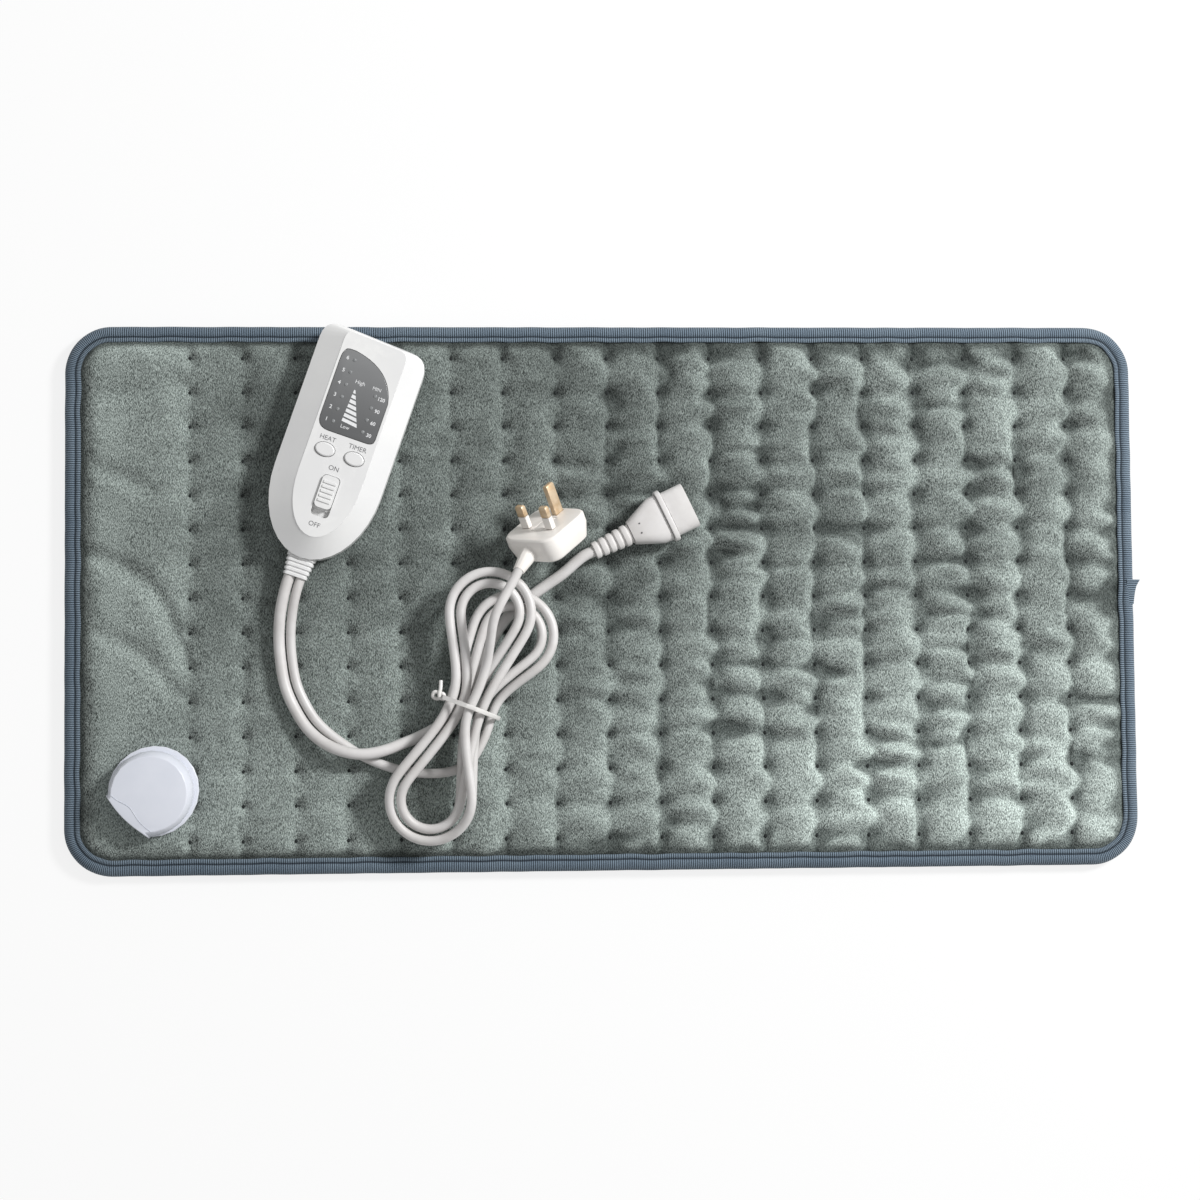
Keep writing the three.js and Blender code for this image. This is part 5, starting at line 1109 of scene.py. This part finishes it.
# %% Finishes for the inner pieces
INNER_FINISH = {
    felt_fibre: ["element_felt"],
    case_white: ["slide_switch"],
    pin_brass: ["socket_pin_1", "socket_pin_2"],
    screw_steel: [f"case_screw_{i}" for i in range(1, 5)],
    board_lacquer: ["circuit_board"],
    lamp_milk: [f"heat_led_{i}" for i in range(1, 7)] + [f"timer_led_{i}" for i in range(1, 5)],
    switch_black: ["heat_switch", "timer_switch", "control_chip", "capacitor", "triac", "thermal_cutout"],
    tie_white: ["heating_wire"],
}
for finish, nodes in INNER_FINISH.items():
    for name in nodes:
        frame["nodes"][name].data.materials.clear()
        frame["nodes"][name].data.materials.append(finish)
print("inner pieces:", sum(len(nodes) for nodes in INNER_FINISH.values()))

# %% The plate behind the slot
ON_HANDSET = Matrix.Scale(MM, 4) @ HANDSET
PLATE_PLACE, PLATE_SIZE = (2.2, -28.35, 17.55), (11.0, 24.0, 0.2)
slot_floor = add(bpy.ops.mesh.primitive_cube_add, size=1)
slot_floor.matrix_world = ON_HANDSET @ Matrix.Translation(PLATE_PLACE) @ Matrix.Diagonal((*PLATE_SIZE, 1.0))
settle(slot_floor, "slot_floor", case_white, "white_plastic", smooth=None)
print("plate:", PLATE_SIZE, "mm")

# %% [markdown]
# ## Print on the handset
# The window has a column of lamps for six heat steps, four lamps for the minutes and a stack of bars
# that widens towards the lower end. The buttons and the slide switch have plain words beside them. Each
# word is a text object made into a thin mesh, laid on its surface in the handset's own frame.

# %% Words and numbers
CASE_TOP, FACE, PRINT_RISE = 63.5, 21.0, 0.03
PRINT_THICK, BOLD = 0.07, 0.05
HEAT_ROWS = [17.1 + 7 * i for i in range(6)]
MINUTE_ROWS = [32 + 6.85 * i for i in range(4)]
MINUTE_DROP = 0.9


def printed(text, x, down, size, bold=0.0):
    """One word, centred at x across the handset and a distance down from its top end."""
    word = add(bpy.ops.object.text_add)
    word.data.body, word.data.size, word.data.offset = text, size, bold
    word.data.align_x, word.data.align_y = "CENTER", "CENTER"
    word.data.extrude, word.data.resolution_u = PRINT_THICK / 2, 3
    bpy.ops.object.convert(target="MESH")
    word.matrix_world = ON_HANDSET @ Matrix.Translation((x, CASE_TOP - down, FACE + PRINT_RISE))
    return word


window_print = [(str(6 - i), -11.2, down, 2.9, BOLD) for i, down in enumerate(HEAT_ROWS)]
for i, down in enumerate(MINUTE_ROWS):
    window_print.append((str(120 - 30 * i), 13.2, down + MINUTE_DROP, 2.8, BOLD))
window_print += [("High", -0.4, 27.9, 3.0), ("Low", -0.4, 53.2, 2.8), ("MIN", 9.2, 28.3, 2.7)]
case_print = [
    ("HEAT", -7.0, 61.9, 3.6), ("TIMER", 9.9, 61.9, 3.7), ("ON", 1.4, 76.4, 3.7), ("OFF", 1.4, 108.2, 3.7),
]
settle(joined([printed(*row) for row in window_print]), "window_words", window_ink, smooth=None)
settle(joined([printed(*row) for row in case_print]), "case_words", case_ink, smooth=None)
print("words:", len(window_print) + len(case_print))

# %% Bars of the heat graph
BARS, BAR_START, BAR_PITCH, BAR_HEIGHT, BAR_THICK = 7, 33.6, 2.72, 1.85, 0.06
GRAPH_TOP, GRAPH_HEIGHT, GRAPH_TILT = 31.5, 19.0, 0.12
GRAPH_LEFT, GRAPH_RIGHT = (-2.2, -1.0), (-2.0, 7.6)
bars = []
for step in range(BARS):
    bar = add(bpy.ops.mesh.primitive_cube_add, size=1)
    corners = get_points(bar, 1)
    down = BAR_START + BAR_PITCH * step - corners[:, 1] * BAR_HEIGHT
    grown = (down - GRAPH_TOP) / GRAPH_HEIGHT
    left, right = (side + growth * grown for side, growth in (GRAPH_LEFT, GRAPH_RIGHT))
    sideways = np.where(corners[:, 0] < 0, left, right)
    upwards = FACE + PRINT_RISE + corners[:, 2] * BAR_THICK
    places = np.stack([sideways, CASE_TOP - down - GRAPH_TILT * sideways, upwards], axis=1)
    bar.data.vertices.foreach_set("co", np.array([ON_HANDSET @ Vector(p) for p in places]).ravel())
    bars.append(bar)
settle(joined(bars), "heat_bars", window_ink, smooth=None)
print("bars:", len(bars))

# %% Lamp windows over the lamps
DOME_FLAT, DOME_CUT, DOME_RISE = 0.3, -0.05, 0.04
HEAT_X, MINUTE_X = -7.3, 9.5
dome = add(bpy.ops.mesh.primitive_uv_sphere_add, segments=20, ring_count=10, radius=1.0)
edit(dome)
bpy.ops.transform.resize(value=(1, 1, DOME_FLAT))
bpy.ops.mesh.bisect(plane_co=(0, 0, DOME_CUT), plane_no=(0, 0, 1), clear_inner=True, use_fill=True)
done()
domes = []
for x, down in [(HEAT_X, row) for row in HEAT_ROWS] + [(MINUTE_X, row) for row in MINUTE_ROWS]:
    domes.append(ON_HANDSET @ Matrix.Translation((x, CASE_TOP - down, FACE + DOME_RISE)))
settle(copied(dome, domes), "lamp_windows", lamp_milk, "lamp", smooth=60)
print("lamp windows:", len(domes))

# %% [markdown]
# ## Parting line of the socket
# A fine line runs over the cover of the socket from one notch to the other, a little way in from the
# mouth. It is a hair-thin wire, with each point dropped straight down on to the cover.

# %% Wire along lines, and the parting line
SEAM_WIRE, ABOVE_COVER, WIRE_STEP = 0.4, 40, 0.5
parting = [
    (-19, -13.6), (-14.8, -16.1), (-10.7, -16.1), (-2.5, -14), (0.8, -14.5), (6.6, -15.7), (11.8, -15.7),
    (15.3, -15.2),
]


def wire(name, lines, width, finish, slot):
    """A round wire along one or more lines of points, made into a mesh."""
    piece = tube(name, lines, width, 3)
    choose(piece)
    bpy.ops.object.convert(target="MESH")
    return settle(piece, name, finish, slot, smooth=60)


bpy.context.view_layer.update()
dropped = []
for place in smooth_line([SOCKET @ Vector((x, y, ABOVE_COVER)) for x, y in parting], WIRE_STEP) * MM:
    hit, spot = moulded_pieces["socket_cover"].ray_cast(Vector(place), Vector((0, 0, -1)))[:2]
    dropped += [tuple(spot)] * hit
wire("socket_parting_line", [np.array(dropped) / MM], SEAM_WIRE, seam_grey, "socket_plastic")
print("parting line:", len(dropped), "points")

# %% [markdown]
# ## Small marks on the connector
# Two tiny moulding marks sit side by side on the neck of the connector. They are shallow dark discs,
# flat ends of small cylinders, set just proud of the shell.

# %% Connector marks
ON_CONNECTOR = Matrix.Scale(MM, 4) @ CONNECTOR
MARK_SIZE, MARK_EDGE, MARK_HEIGHT = 0.5, 0.12, 5.95
MARKS = (-30.0, 2.6), (-31.0, -2.6)
mark = add(bpy.ops.mesh.primitive_cylinder_add, vertices=16, radius=MARK_SIZE, depth=MARK_SIZE)
edit(mark)
bpy.ops.mesh.bevel(offset=MARK_EDGE, segments=2, affect="EDGES")
done()
marks = [ON_CONNECTOR @ Matrix.Translation((x, y, MARK_HEIGHT)) for x, y in MARKS]
connector_marks = settle(copied(mark, marks), "connector_marks", mark_ink, smooth=40)
print("connector marks:", len(marks))

# %% [markdown]
# ## The tie round the hank
# A white wire tie goes round the waist. Its ends are twisted together on the left, in a small bow with a
# short free end. The band is the frame's own loop with round edges, and the twist is bent from wire.

# %% Tie band and its twist
TIE_WIRE, TWIST_LEFT = 2.1, -13.0
tie_band = moulding("hank_tie", "tie_band", tie_white, "cord_rubber", 0.4, merge=False)
bow = [
    (-1.5, 0, 27.5), (1.5, 0.5, 28), (3.6, 1.6, 28.6), (5.6, 0.9, 28.2), (5.4, -1.4, 27.2),
    (3.2, -1.9, 26.6), (1.2, -0.6, 27), (-0.5, 0.8, 29.2), (1.2, 1.8, 29.8), (2.6, 0.2, 28.8),
]
free_end = [
    (-1.2, -0.5, 29), (1.6, -0.9, 29.6), (2.7, 1.2, 29.8), (3.0, 3.6, 29.6), (3.8, 6.2, 29.0),
    (4.4, 8.0, 28.6),
]
bends = []
for bend in (bow, free_end):
    bends.append(smooth_line([HANK @ Vector((TWIST_LEFT - out, up, z)) for out, up, z in bend], WIRE_STEP))
tie_twist = wire("tie_twist", bends, TIE_WIRE, tie_white, "cord_rubber")
print("tie twist:", len(tie_twist.data.polygons), "faces")

# %% [markdown]
# ## Floor and light
# The pad lies on a white floor. One square lamp stands to the right and a little behind, about 1.15 m
# up, so that every dimple of the quilting has a light and a dark side, and the shadows fall to the left.
# The world fills in the rest. For the camera the floor is almost pure white, and it still takes the
# shadow.

# %% Floor
FLOOR_SIZE, FLOOR_LOW, FLOOR_TONE, FLOOR_GLOW = 12, -0.0004, (0.86, 0.86, 0.86, 1), 0.82
floor = add(bpy.ops.mesh.primitive_plane_add, size=FLOOR_SIZE)
floor.location.z = FLOOR_LOW
floor.name = "floor"
white = Finish("floor_white")
white.set(Base_Color=FLOOR_TONE, Roughness=0.9)
path = white.add("LightPath").outputs
seen = white.math("ADD", path["Is Camera Ray"], path["Is Glossy Ray"], clamp=True)
seen = white.math("ADD", seen, path["Is Transmission Ray"], clamp=True)
glow = white.add("Emission", Color=(1, 1, 1, 1), Strength=1.0)
mixed = white.add("MixShader")
mixed_from = white.math("MULTIPLY", seen, FLOOR_GLOW), white.shader.outputs[0], glow.outputs[0]
for socket, value in zip(mixed.inputs, mixed_from):
    white.feed(socket, value)
white.feed(white.tree.nodes["Material Output"].inputs["Surface"], mixed.outputs[0])
floor.data.materials.append(white.material)
print("floor:", FLOOR_SIZE, "m wide")

# %% World and lamp
WORLD_LIGHT, WORLD_SEEN = 0.44, 1.0
LAMP_PLACE, LAMP_SIZE, LAMP_POWER = Vector((1.1, 0.62, 1.15)), 0.32, 31.0
world = bpy.data.worlds.new("studio")
scene.world = world
world.use_nodes = True
sky = Nodes(world.node_tree)
back = world.node_tree.nodes["Background"].inputs
to_camera = sky.add("LightPath").outputs["Is Camera Ray"]
sky.feed(back["Strength"], sky.ramp(to_camera, 0, 1, WORLD_LIGHT, WORLD_SEEN))
sky.feed(back["Color"], (1, 1, 1, 1))

light = bpy.data.lights.new("key_right", "AREA")
light.energy, light.size = LAMP_POWER, LAMP_SIZE
lamp = bpy.data.objects.new("key_right", light)
lamp.location = LAMP_PLACE
lamp.rotation_euler = (-LAMP_PLACE).to_track_quat("-Z", "Y").to_euler()
scene.collection.objects.link(lamp)
print("lamp at", lamp.location[:])
